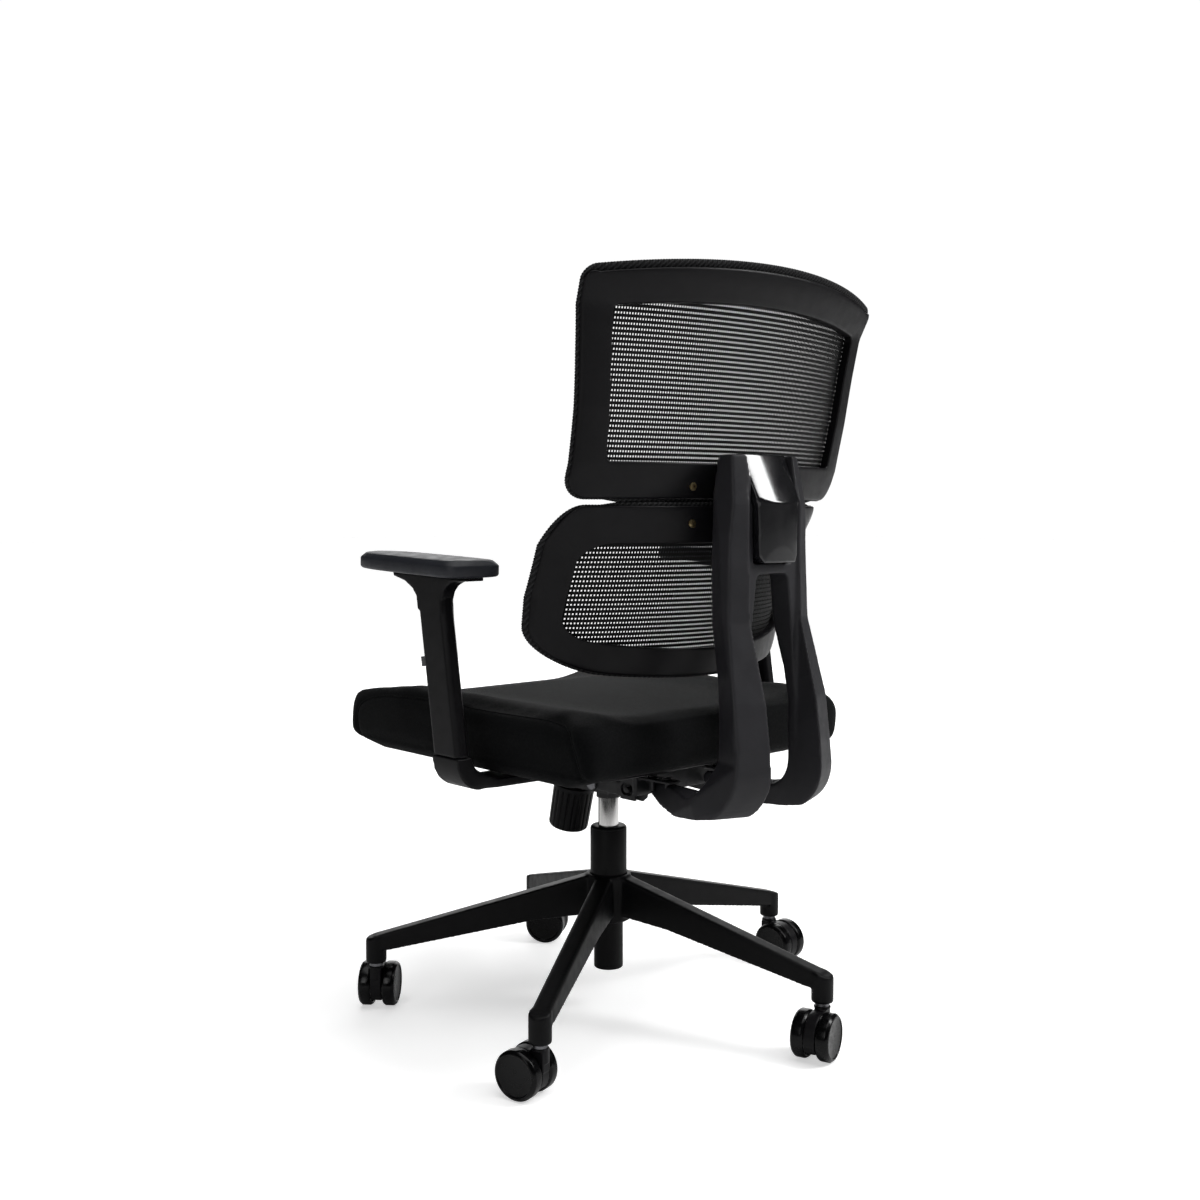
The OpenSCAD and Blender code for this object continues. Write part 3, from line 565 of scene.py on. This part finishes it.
def unit_outline(top, bottom, side_steps, corner_steps):
    """Rounded square from -1 to 1, anticlockwise from the right side's foot."""
    def side(a, b):
        share = np.arange(side_steps)[:, None] / side_steps
        return np.array(a) + (np.array(b) - np.array(a)) * share

    def corner(centre, size, start):
        angle = np.radians(start + 90 * np.arange(corner_steps) / corner_steps)
        return np.array(centre) + np.stack([size[0] * np.cos(angle), size[1] * np.sin(angle)], 1)

    tx, tz = top
    bx, bz = bottom
    return np.concatenate([
        side((1, bz - 1), (1, 1 - tz)), corner((1 - tx, 1 - tz), top, 0),
        side((1 - tx, 1), (tx - 1, 1)), corner((tx - 1, 1 - tz), top, 90),
        side((-1, 1 - tz), (-1, bz - 1)), corner((bx - 1, bz - 1), bottom, 180),
        side((bx - 1, -1), (1 - bx, -1)), corner((1 - bx, bz - 1), bottom, 270),
    ])


def frame_outline(shape, side_steps=40, corner_steps=14):
    """[x, z] round a frame or its opening, anticlockwise."""
    low_w, high_w, low_z, high_z, rise, sag, flare, top, bottom = shape
    p = unit_outline(top, bottom, side_steps, corner_steps)
    up = (p[:, 1] + 1) / 2
    across = p[:, 0] ** 2
    x = p[:, 0] * (low_w + (high_w - low_w) * up ** flare)
    low = low_z + sag * across
    high = high_z + rise * (1 - across)
    return np.stack([x, low + (high - low) * up], 1)


def distance_to(points, outline):
    """Distance of each point from a closed outline, and whether it is inside."""
    a = outline
    b = np.roll(outline, -1, 0)
    best = np.full(len(points), 1e9)
    inside = np.zeros(len(points), bool)
    for p, q in zip(a, b):
        along = q - p
        share = np.clip(((points - p) @ along) / max(along @ along, 1e-12), 0, 1)
        best = np.minimum(best, np.linalg.norm(points - p - share[:, None] * along, axis=1))
        spans = (p[1] > points[:, 1]) != (q[1] > points[:, 1])
        with np.errstate(divide="ignore", invalid="ignore"):
            crossing = p[0] + (points[:, 1] - p[1]) / (q[1] - p[1]) * (q[0] - p[0])
        inside ^= spans & (points[:, 0] < crossing)
    return best, inside


def band_thickness(share):
    return FRAME_T + (FRAME_EDGE_T - FRAME_T) * share ** 1.5


def inward_of(path):
    """Unit vectors square to a closed anticlockwise path, pointing inside it."""
    ahead = np.roll(path, -1, 0) - np.roll(path, 1, 0)
    ahead /= np.linalg.norm(ahead, axis=1)[:, None]
    return np.stack([-ahead[:, 1], ahead[:, 0]], 1)


def hem_reach(path, steps):
    """How much of the woven hem shows round the frame: at the sides, the top and the bottom."""
    side, top, bottom = steps
    inward = inward_of(path)
    up = -inward[:, 1]
    return side * inward[:, 0] ** 2 + np.where(up > 0, top, bottom) * up ** 2


def frame_section():
    """Round a frame's band: where an amount is measured from, the amount, and the depth, None in front."""
    lip = []
    for turn in (0, 30, 60, 90):
        angle = math.radians(turn)
        lip.append(("in", FRAME_LIP * (1 - math.cos(angle)), FRAME_LIP * (1 - math.sin(angle))))
    crown = [("mid", share, 0.0) for share in (0.12, 0.25, 0.4, 0.55, 0.7, 0.82, 0.92)]
    rim = [("out", 0.0022, 0.0002), ("out", 0.0008, 0.0008), ("out", 0.0, 0.002)]
    front = [("mid", share, None) for share in (1.0, 0.8, 0.55, 0.3, 0.12, 0.0)]
    return lip + crown + rim + front


def frame_piece(back):
    """A moulded band with rounded edges and a slightly crowned rear face, inside the woven hem."""
    into = frame_outline(back.inner)
    whole = frame_outline(back.outer)
    out = whole + inward_of(whole) * hem_reach(whole, back.hem)[:, None]
    width = np.linalg.norm(out - into, axis=1)
    rows = []
    for kind, amount, depth in frame_section():
        if kind == "in":
            share = amount / width
        elif kind == "out":
            share = 1 - amount / width
        else:
            share = np.full(len(width), float(amount))
        p = into + (out - into) * share[:, None]
        y = rear_face(p[:, 0], p[:, 1], back)
        if depth is None:
            y = y - band_thickness(np.clip(share, 0, 1))
        else:
            y = y - depth + FRAME_CROWN * np.sin(math.pi * np.clip(share, 0, 1))
        rows.append(np.stack([p[:, 0], y, p[:, 1]], 1))
    points = np.stack(rows, 1).reshape(-1, 3)
    faces = grid_faces(len(out), len(rows))
    piece = closed_piece(back.name + "_frame_moulded", points, faces, smooth_angle=50)
    stand_for(piece, back.name + "_frame")


def sheet_y(points, back):
    """Where the stretched fabric lies: straight over the opening, then back over the frame's thin edge."""
    from_outer, _ = distance_to(points, frame_outline(back.outer))
    from_inner, inside = distance_to(points, frame_outline(back.inner))
    share = np.where(inside, 0, from_inner / (from_inner + from_outer))
    return rear_face(points[:, 0], points[:, 1], back) - band_thickness(share) - MESH_GAP


def lattice(xs, zs, solid, back):
    """Closed sheet over the solid cells of a grid, with a wall round each opening."""
    columns, rows = len(xs), len(zs)
    grid_x, grid_z = np.meshgrid(xs, zs, indexing="ij")
    flat = np.stack([grid_x.ravel(), grid_z.ravel()], 1)
    front = np.stack([flat[:, 0], sheet_y(flat, back), flat[:, 1]], 1)
    behind = front - [0, MESH_T, 0]
    number = np.arange(columns * rows).reshape(columns, rows)
    half = columns * rows
    a, b = number[:-1, :-1], number[1:, :-1]
    c, d = number[1:, 1:], number[:-1, 1:]
    faces = [np.stack([a[solid], d[solid], c[solid], b[solid]], 1)]
    faces.append(np.stack([a[solid], b[solid], c[solid], d[solid]], 1) + half)
    open_left = solid & ~np.pad(solid, ((1, 0), (0, 0)))[:-1]
    open_right = solid & ~np.pad(solid, ((0, 1), (0, 0)))[1:]
    open_low = solid & ~np.pad(solid, ((0, 0), (1, 0)))[:, :-1]
    open_high = solid & ~np.pad(solid, ((0, 0), (0, 1)))[:, 1:]
    for mask, p, q in ((open_left, d, a), (open_right, b, c), (open_low, a, b), (open_high, c, d)):
        faces.append(np.stack([p[mask], q[mask], q[mask] + half, p[mask] + half], 1))
    faces = np.concatenate(faces)
    points = np.concatenate([front, behind])
    used, faces = np.unique(faces, return_inverse=True)
    return points[used], faces.reshape(-1, 4)


def stripes(start, pitch, share, count):
    """Where each of a row of stripes begins and ends."""
    steps = np.arange(count)
    return np.sort(np.concatenate([start + steps * pitch, start + (steps + share) * pitch]))


def mesh_piece(back):
    """Fabric with real openings in rows, and a hem round its edge."""
    outer = frame_outline(back.outer)
    cord_share, thread_share = back.solid
    half_w = back.outer[1] + 0.002
    low, high = outer[:, 1].min(), outer[:, 1].max()
    xs = stripes(-half_w, MESH_HOLE, thread_share, int(2 * half_w / MESH_HOLE))
    zs = stripes(low, MESH_ROW, cord_share, int((high - low) / MESH_ROW))
    mid_x, mid_z = (xs[:-1] + xs[1:]) / 2, (zs[:-1] + zs[1:]) / 2
    cell_x, cell_z = np.meshgrid(mid_x, mid_z, indexing="ij")
    away, inside = distance_to(np.stack([cell_x.ravel(), cell_z.ravel()], 1), outer)
    covered = (inside & (away > MESH_EDGE)).reshape(cell_x.shape)
    holes = (inside & (away > MESH_BORDER)).reshape(cell_x.shape)
    thread = np.arange(len(mid_x))[:, None] % 2 == 0
    cord = np.arange(len(mid_z))[None, :] % 2 == 0
    points, faces = lattice(xs, zs, covered & (thread | cord | ~holes), back)
    piece = closed_piece(back.name + "_fabric", points, faces.tolist(), smooth_angle=40)
    node = back.name + "_mesh"
    stand_for(piece, node)
    hem = hem_piece(back)
    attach(hem, BODIES[node])
    dress(hem, node, "hem_weave")


def hem_piece(back):
    """Corded border that wraps the fabric's edge, with a tooth for every stitch."""
    outer = frame_outline(back.outer)
    length = np.cumsum(np.linalg.norm(np.roll(outer, -1, 0) - outer, axis=1))
    stations = np.arange(0, length[-1], 0.00075)
    at = np.concatenate([[0], length])
    around = np.concatenate([outer, outer[:1]])
    path = np.stack([np.interp(stations, at, around[:, k]) for k in (0, 1)], 1)
    inward = inward_of(path)
    width = hem_reach(path, back.hem) + HEM_LAP
    # Where the two backs meet, the hems bulge toward each other
    facing = np.where(back.join * -inward[:, 1] > 0.7, 1, 0)
    bulge = JOIN_BULGE * facing * np.clip((JOIN_HALF_W - np.abs(path[:, 0])) / 0.02, 0, 1)
    tooth = STITCH_TOOTH * np.abs(np.sin(stations / STITCH * math.pi))
    rows = []
    for share, depth in HEM_SECTION:
        p = path + inward * (width * share - (tooth + bulge) * (1 - share) + 0.0005)[:, None]
        y = sheet_y(p, back) - MESH_T / 2 + depth + np.sign(depth) * tooth
        rows.append(np.stack([p[:, 0], y, p[:, 1]], 1))
    points = np.stack(rows, 1).reshape(-1, 3)
    faces = grid_faces(len(path), len(rows))
    return closed_piece(back.name + "_fabric_hem", points, faces, smooth_angle=60)


for back in (UPPER, LOWER):
    frame_piece(back)
for back in (UPPER, LOWER):
    mesh_piece(back)


# ---------- moulded parts ----------

# The gloss cap's half width and how far its middle bulges
CAP_HALF_W = 0.038
CAP_CROWN = 0.0045
# The cap's rear face starts to bulge at the first of these distances behind the axis, fully at the second
CAP_REAR = (0.262, 0.272)


def crown_cap(piece):
    """Bulges the gloss cap's rear face across its width."""
    for vertex in piece.data.vertices:
        x, y, _ = vertex.co
        vertex.co.y = y + CAP_CROWN * ramp(y, *CAP_REAR) * max(1 - (x / CAP_HALF_W) ** 2, 0)
    piece.data.update()


# Inner corner of an arm bracket: its new radius and that circle's centre as [x, z], how far the old corner
# lies outside the circle, and the bracket's thickness
BRACKET_INNER_X, BRACKET_TOP_Z = 0.2735, 0.356
ELBOW_R = 0.036
ELBOW_AT = (BRACKET_INNER_X - ELBOW_R, BRACKET_TOP_Z + ELBOW_R)
ELBOW_BULGE = 0.0089
ELBOW_WALL = 0.0105


def fill_elbow(piece):
    """Rounds the inner corner of an arm bracket more fully and leaves its outside."""
    for vertex in piece.data.vertices:
        side = math.copysign(1, vertex.co.x)
        across = abs(vertex.co.x) - ELBOW_AT[0]
        down = ELBOW_AT[1] - vertex.co.z
        reach = math.hypot(across, down)
        if across <= 0 or down <= 0:
            continue
        inner = ELBOW_R + ELBOW_BULGE * (2 * across * down / reach ** 2) ** 2
        if reach > inner + ELBOW_WALL:
            continue
        stretch = (inner + ELBOW_WALL - ELBOW_R) / ELBOW_WALL
        target = ELBOW_R + (reach - inner) * (stretch if reach > inner else 1)
        vertex.co.x = side * (ELBOW_AT[0] + across * target / reach)
        vertex.co.z = ELBOW_AT[1] - down * target / reach
    piece.data.update()


# Middle of an arm's seam between bracket and sleeve, and the arm's lean
ARM_SEAM = (0.287, 0.028, 0.386)
ARM_LEAN = math.radians(9.2)
# Along the leaning arm from that seam: how deep the button goes, its height and its place across
BUTTON_DEPTH = -0.0245
BUTTON_HEIGHT = 0.1185
BUTTON_X = 0.0035
# What is left of the button's height and width
BUTTON_SLIMMED = (0.88, 0.82)


def slim_button(piece, sign):
    """Leaves the height button a clear gap in its socket, round its sides and behind it."""
    inward = Vector((0, math.cos(ARM_LEAN), math.sin(ARM_LEAN)))
    upward = Vector((0, -math.sin(ARM_LEAN), math.cos(ARM_LEAN)))
    seam = Vector((sign * ARM_SEAM[0], ARM_SEAM[1], ARM_SEAM[2]))
    keep_height, keep_width = BUTTON_SLIMMED
    for vertex in piece.data.vertices:
        local = vertex.co - seam
        depth = min(local.dot(inward), BUTTON_DEPTH)
        height = BUTTON_HEIGHT + (local.dot(upward) - BUTTON_HEIGHT) * keep_height
        across = sign * BUTTON_X + (local.x - sign * BUTTON_X) * keep_width
        vertex.co = seam + Vector((across, 0, 0)) + inward * depth + upward * height
    piece.data.update()


# Flared neck of an arm's sleeve, under the pad, as [y, z]
SLEEVE_NECK = [
    (-0.016, 0.545), (-0.0205, 0.562), (-0.0265, 0.576), (-0.038, 0.588), (-0.054, 0.5965), (-0.078, 0.602),
    (-0.08, 0.6072), (0.056, 0.6026), (0.054, 0.6), (0.042, 0.597), (0.033, 0.5925), (0.026, 0.586),
    (0.022, 0.576), (0.023, 0.545),
]

# Inner and outer face of that neck
NECK_X = (0.277, 0.297)
SIDES = {"left": 1, "right": -1}

coarse = 1.0
soften("star_base", 0.0016 * coarse, 14)
soften("spine", 0.0016 * coarse, 12)
crown_cap(soften("spine_cap", 0.0012 * coarse, 3))
for side, sign in SIDES.items():
    neck = (SLEEVE_NECK, sign * NECK_X[0], sign * NECK_X[1])
    fill_elbow(soften(side + "_arm_bracket", 0.0014 * coarse, 5))
    soften(side + "_arm_sleeve", 0.0013 * coarse, 6, added=[neck])
    slim_button(soften(side + "_arm_button", 0.0006 * coarse, 3), sign)
soften("tension_knob", 0.0009 * coarse, 3)
soften("lever_paddle", 0.0009 * coarse, 4)
soften("seat_cover", 0.0018 * coarse, 3)
soften("back_bracket", 0.0011 * coarse, 2)
for k in range(1, 6):
    soften(f"caster_{k}_hood", 0.0009 * coarse, 3)
    for w in "ab":
        crisp(f"caster_{k}_wheel_{w}", 0.0006)
for name in ("column_tube", "column_bush", "gas_cylinder", "lever_rod"):
    crisp(name, 0.0004)

# The frames' screws are brass, and the bolts below this height are black
BOLTS_BELOW = 0.5
screws = crisp("back_screws", 0.0004)
screws.data.materials.append(MATERIALS["black_steel"])
for face in screws.data.polygons:
    face.material_index = int(face.center.z < BOLTS_BELOW)


# ---------- arm pads ----------


def smooth_plan(points, rounds=3):
    """Cuts the corners of a closed plan until it is round."""
    p = np.array(points, float)
    for _ in range(rounds):
        after = np.roll(p, -1, 0)
        p = np.stack([p * 0.75 + after * 0.25, p * 0.25 + after * 0.75], 1).reshape(-1, 2)
    return p


# Lower rear edge of a pad as [y, z], its length, the rise of its front, and its outer and inner sides
PAD_REAR = (0.066, 0.603)
PAD_LENGTH = 0.226
PAD_RISE = math.radians(2)
PAD_OUT, PAD_IN = 0.315, 0.231
# From the underside up: how far the outline is drawn in, and the height
PAD_SIDE = [
    (0.0042, 0.0), (0.002, 0.0005), (0.0006, 0.0018), (0.0, 0.0038), (0.0, 0.0085), (0.0, 0.0134),
    (0.0003, 0.0144), (0.001, 0.0154), (0.0046, 0.0194), (0.0056, 0.0202), (0.0074, 0.0207),
]
# Then over the top: share of the way to the middle, and the height
PAD_TOP = [(0.2048, 0.0212), (0.4429, 0.0214), (0.681, 0.0215)]


def pad_plan(inset):
    """Outline of a pad as [x, y behind its rear], drawn in by an inset."""
    rear = -inset
    front = inset - PAD_LENGTH
    out = PAD_OUT - inset
    inner = PAD_IN + inset
    return smooth_plan([
        (inner, front + 0.062), (inner + 0.006, front + 0.026), (inner + 0.016, front + 0.006),
        (inner + 0.03, front), (out - 0.034, front), (out - 0.015, front + 0.009),
        (out - 0.004, front + 0.034), (out, front + 0.08), (out, rear - 0.03),
        (out - 0.002, rear - 0.01), (out - 0.014, rear), (inner + 0.012, rear), (inner, rear - 0.014),
    ])


def arm_pad(side, sign):
    """Moulded pad: soft lower edge, upright side, crisp chamfer and a slightly crowned top."""
    plans = [(pad_plan(inset), z) for inset, z in PAD_SIDE]
    edge = plans[-1][0]
    middle = np.array([(PAD_OUT + PAD_IN) / 2, -PAD_LENGTH / 2])
    plans += [(edge + (middle - edge) * [share, share * 0.55], z) for share, z in PAD_TOP]
    rows = []
    for plan, z in plans:
        y = PAD_REAR[0] + plan[:, 1] * math.cos(PAD_RISE) + z * math.sin(PAD_RISE)
        height = PAD_REAR[1] - plan[:, 1] * math.sin(PAD_RISE) + z * math.cos(PAD_RISE)
        rows.append(np.stack([plan[:, 0] * sign, y, height], 1))
    piece = closed_piece(side + "_pad_foam", np.concatenate(rows), tube_faces(len(rows), len(edge)), 42)
    stand_for(piece, side + "_arm_pad")


for side, sign in SIDES.items():
    arm_pad(side, sign)


# ---------- seat cushion ----------

# Size of the cells that the CAD block is remeshed in
CUSHION_VOXEL = 0.0055
# The cushion's underside rests on the board and stays as it is
UNDERSIDE_BELOW = 0.3735
# How much smaller the cover starts, the pressure in it, and the least and most that it may move outward
COVER_SHRUNK = 0.0015
COVER_PRESSURE = 4
COVER_FRAMES = 20
SWELL = (-0.001, 0.006)
# How far the cover hangs below the board at the sides, fading in over x, up over z and at both ends over y
SKIRT_DROP = 0.0085
SKIRT_X = (0.2, 0.214)
SKIRT_Z = (0.405, 0.37)
SKIRT_REAR = (0.2, 0.17)
SKIRT_FRONT = (-0.27, -0.21)
# Seam round the side panel, as [y, z] from the front underside over the top to the rear underside
SIDE_SEAM = [
    (-0.262, 0.372), (-0.266, 0.392), (-0.262, 0.410), (-0.245, 0.424), (-0.2, 0.434), (-0.12, 0.438),
    (0, 0.4385), (0.1, 0.4385), (0.15, 0.4375), (0.172, 0.433), (0.186, 0.423), (0.195, 0.408),
    (0.199, 0.391), (0.201, 0.374),
]
# The side panels begin at the first of these distances from the middle and are full at the second
FLANK = (0.16, 0.19)
# How far the panels sink, the groove round them, and the cord's radius
PANEL_SUNK = 0.0016
GROOVE_DEPTH, GROOVE_WIDTH = 0.0026, 0.0034
CORD_R = 0.0011


def smooth_line(points, spacing):
    """Open line with its corners cut, at an even spacing."""
    p = np.array(points)
    for _ in range(3):
        cut = np.stack([p[:-1] * 0.75 + p[1:] * 0.25, p[:-1] * 0.25 + p[1:] * 0.75], 1).reshape(-1, 2)
        p = np.concatenate([p[:1], cut, p[-1:]])
    length = np.concatenate([[0], np.cumsum(np.linalg.norm(np.diff(p, axis=0), axis=1))])
    at = np.arange(0, length[-1], spacing)
    return np.stack([np.interp(at, length, p[:, k]) for k in (0, 1)], 1)


def cord(name, path, radius, sides=8):
    """Round cord along a line of points, closed at both ends."""
    ahead = np.gradient(path, axis=0)
    ahead /= np.linalg.norm(ahead, axis=1)[:, None]
    across = np.cross(ahead, [1, 0, 0])
    across /= np.linalg.norm(across, axis=1)[:, None]
    up = np.cross(across, ahead)
    turn = np.arange(sides) * 2 * math.pi / sides
    ring = np.cos(turn)[None, :, None] * across[:, None] + np.sin(turn)[None, :, None] * up[:, None]
    points = (path[:, None] + ring * radius).reshape(-1, 3)
    return closed_piece(name, points, tube_faces(len(path), sides))


def cord_path(line, points, surface, sign):
    """A side's seam line laid on the cushion's surface and evened out."""
    chosen = points[points[:, 0] * sign > FLANK[0]]
    path = []
    for y, z in line:
        near = chosen[np.hypot(chosen[:, 1] - y, chosen[:, 2] - z) < 0.006]
        if len(near):
            beside = (sign * (np.abs(near[:, 0]).max() - 0.0012), y, z)
            path.append(surface.find_nearest(beside)[0])
    path = np.array(path)
    for _ in range(6):
        path[1:-1] = (path[:-2] + path[1:-1] * 2 + path[2:]) / 4
    path[:, 0] -= sign * 0.0003
    return path


def press_seams(piece):
    """Sinks the side panels a little, draws in a groove round them and lays a cord in it."""
    line = smooth_line(SIDE_SEAM, 0.003)
    mesh = piece.data
    points = vectors(mesh)
    _, inside = distance_to(points[:, 1:], np.concatenate([line, line[:1]]))
    to_line = np.min(np.linalg.norm(points[:, None, 1:] - line[None], axis=2), axis=1)
    flank = np.clip((np.abs(points[:, 0]) - FLANK[0]) / (FLANK[1] - FLANK[0]), 0, 1)
    groove = GROOVE_DEPTH * np.exp(-(to_line / GROOVE_WIDTH) ** 2)
    panel = np.where(inside, PANEL_SUNK * np.clip(to_line / 0.004, 0, 1), 0)
    points = points - vectors(mesh, "normal") * ((groove + panel) * flank)[:, None]
    place_vertices(mesh, points)
    mesh.update()
    surface = BVHTree.FromPolygons(points.tolist(), [face.vertices[:] for face in mesh.polygons])
    return [cord(side + "_seam_cord", cord_path(line, points, surface, sign), CORD_R)
            for side, sign in SIDES.items()]


def drop_skirt(piece):
    """Lets the cover hang a little below the board along both sides."""
    for vertex in piece.data.vertices:
        x, y, z = vertex.co
        side = ramp(abs(x), *SKIRT_X)
        drop = side * (2 - side) * ramp(z, *SKIRT_Z) * ramp(y, *SKIRT_REAR) * ramp(y, *SKIRT_FRONT)
        vertex.co.z = z - SKIRT_DROP * drop
    piece.data.update()


def even_out(mesh, values, rounds):
    """Averages one value per vertex with its neighbours'."""
    edges = np.empty(len(mesh.edges) * 2, np.int32)
    mesh.edges.foreach_get("vertices", edges)
    first, second = edges.reshape(-1, 2).T
    count = len(values)
    near = np.bincount(first, minlength=count) + np.bincount(second, minlength=count)
    for _ in range(rounds):
        total = np.bincount(first, values[second], count) + np.bincount(second, values[first], count)
        values = (values + total / np.maximum(near, 1)) / 2
    return values


def simulate(piece, held):
    """Where the cover's points go when it is blown up with its underside held."""
    group = piece.vertex_groups.new(name="held")
    group.add([int(i) for i in np.nonzero(held)[0]], 1.0, "REPLACE")
    cloth = piece.modifiers.new("cloth", "CLOTH")
    cloth.settings.use_pressure = True
    cloth.settings.uniform_pressure_force = COVER_PRESSURE
    cloth.settings.effector_weights.gravity = 0
    cloth.settings.vertex_group_mass = "held"
    cloth.settings.quality = 5
    scene = bpy.context.scene
    for step in range(1, COVER_FRAMES + 1):
        scene.frame_set(step)
    graph = bpy.context.evaluated_depsgraph_get()
    blown = vectors(piece.evaluated_get(graph).data)
    piece.modifiers.clear()
    scene.frame_set(1)
    return blown


def swell(piece):
    """Moves the cover along its normals as far as the simulation does, within limits and evened out."""
    mesh = piece.data
    start = vectors(mesh)
    normals = vectors(mesh, "normal")
    underside = start[:, 2] < UNDERSIDE_BELOW
    place_vertices(mesh, start - normals * np.where(underside, 0, COVER_SHRUNK)[:, None])
    blown = simulate(piece, underside)
    rise = np.clip(((blown - start) * normals).sum(1), *SWELL)
    rise[underside] = 0
    place_vertices(mesh, start + normals * even_out(mesh, rise, 12)[:, None])


def cushion():
    """The CAD block remeshed, swollen by cloth simulation, subdivided and seamed."""
    piece = copy_node("seat_cushion", "seat_upholstery")
    remould(piece, CUSHION_VOXEL, 3)
    swell(piece)
    divide = piece.modifiers.new("divide", "SUBSURF")
    divide.levels = 1
    divide.render_levels = 1
    apply_modifiers(piece)
    drop_skirt(piece)
    seams = press_seams(piece)
    shade(piece)
    stand_for(piece, "seat_cushion")
    for seam in seams:
        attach(seam, BODIES["seat_cushion"])
        dress(seam, "seat_cushion")


cushion()


# ---------- floor, light and camera ----------

AIM = (0, 0.15, 0.6)
# Each soft light: where it stands, what it points at, its size and its power
LIGHTS = {
    "key": ((-1.90, 2.14, 2.46), AIM, (0.85, 1.7), 75),
    "side": ((3.0, 1.2, 1.7), AIM, (0.8, 1.6), 16),
    "backdrop": ((-2.9, -3.1, 1.7), (0, 0, 0.9), (4.0, 3.0), 75),
}
SKY_POWER = 2.0
SKY_ANGLE = math.radians(60)
SKY_ALONG = (0.1, -0.15, -1)
FLOOR_HALF = 30
# The white studio as the camera sees it and as light: the floor's glow and the world's
FLOOR_SHOWN, FLOOR_LIT = 0.52, 0.0
WORLD_SHOWN, WORLD_LIT = 1.02, 0.03
CAMERA_AT = (1.2766, 1.3690, 0.6821)
LOOK_ALONG = (-0.6760, -0.7341, -0.0640)
LENS = 41.32


def pointing(direction):
    """Turn of a lamp or camera that looks along a direction."""
    return Vector(direction).to_track_quat("-Z", "Y").to_euler()


def area_light(name, location, target, size, power):
    data = bpy.data.lights.new(name, "AREA")
    data.shape = "RECTANGLE"
    data.size, data.size_y = size
    data.energy = power
    light = bpy.data.objects.new(name, data)
    light.location = location
    light.rotation_euler = pointing(Vector(target) - Vector(location))
    bpy.context.scene.collection.objects.link(light)


def camera_or(tree, shown, lit):
    """One value for what the camera sees of the studio and another for the light it gives."""
    blend = tree.nodes.new("ShaderNodeMapRange")
    blend.inputs["To Min"].default_value = lit
    blend.inputs["To Max"].default_value = shown
    rays = tree.nodes.new("ShaderNodeLightPath")
    tree.links.new(rays.outputs["Is Camera Ray"], blend.inputs["Value"])
    return blend.outputs["Result"]


def floor():
    a = FLOOR_HALF
    piece = mesh_object("floor", [(-a, -a, 0), (a, -a, 0), (a, a, 0), (-a, a, 0)], [(0, 1, 2, 3)])
    n = Nodes("floor", (0.8, 0.8, 0.8), 0.6, Specular_IOR_Level=0.05)
    n.shader.inputs["Emission Color"].default_value = (1, 1, 1, 1)
    n.link(camera_or(n.tree, FLOOR_SHOWN, FLOOR_LIT), n.shader, "Emission Strength")
    n.roughness(n.between(n.noise(3, 2), 0.55, 0.7))
    piece.data.materials.append(n.material)


def world():
    room = bpy.data.worlds.new("studio")
    room.use_nodes = True
    tree = room.node_tree
    light = tree.nodes["Background"]
    light.inputs["Color"].default_value = (1, 1, 1, 1)
    tree.links.new(camera_or(tree, WORLD_SHOWN, WORLD_LIT), light.inputs["Strength"])
    bpy.context.scene.world = room
    bpy.context.scene.view_settings.view_transform = "Standard"


def sky():
    """Very soft light from nearly straight above."""
    data = bpy.data.lights.new("sky", "SUN")
    data.energy = SKY_POWER
    data.angle = SKY_ANGLE
    above = bpy.data.objects.new("sky", data)
    above.rotation_euler = pointing(SKY_ALONG)
    bpy.context.scene.collection.objects.link(above)


def camera():
    data = bpy.data.cameras.new("camera")
    data.lens = LENS
    data.sensor_width = 36
    eye = bpy.data.objects.new("camera", data)
    eye.location = CAMERA_AT
    eye.rotation_euler = pointing(LOOK_ALONG)
    bpy.context.scene.collection.objects.link(eye)
    bpy.context.scene.camera = eye


floor()
world()
for name, setting in LIGHTS.items():
    area_light(name, *setting)
sky()
camera()
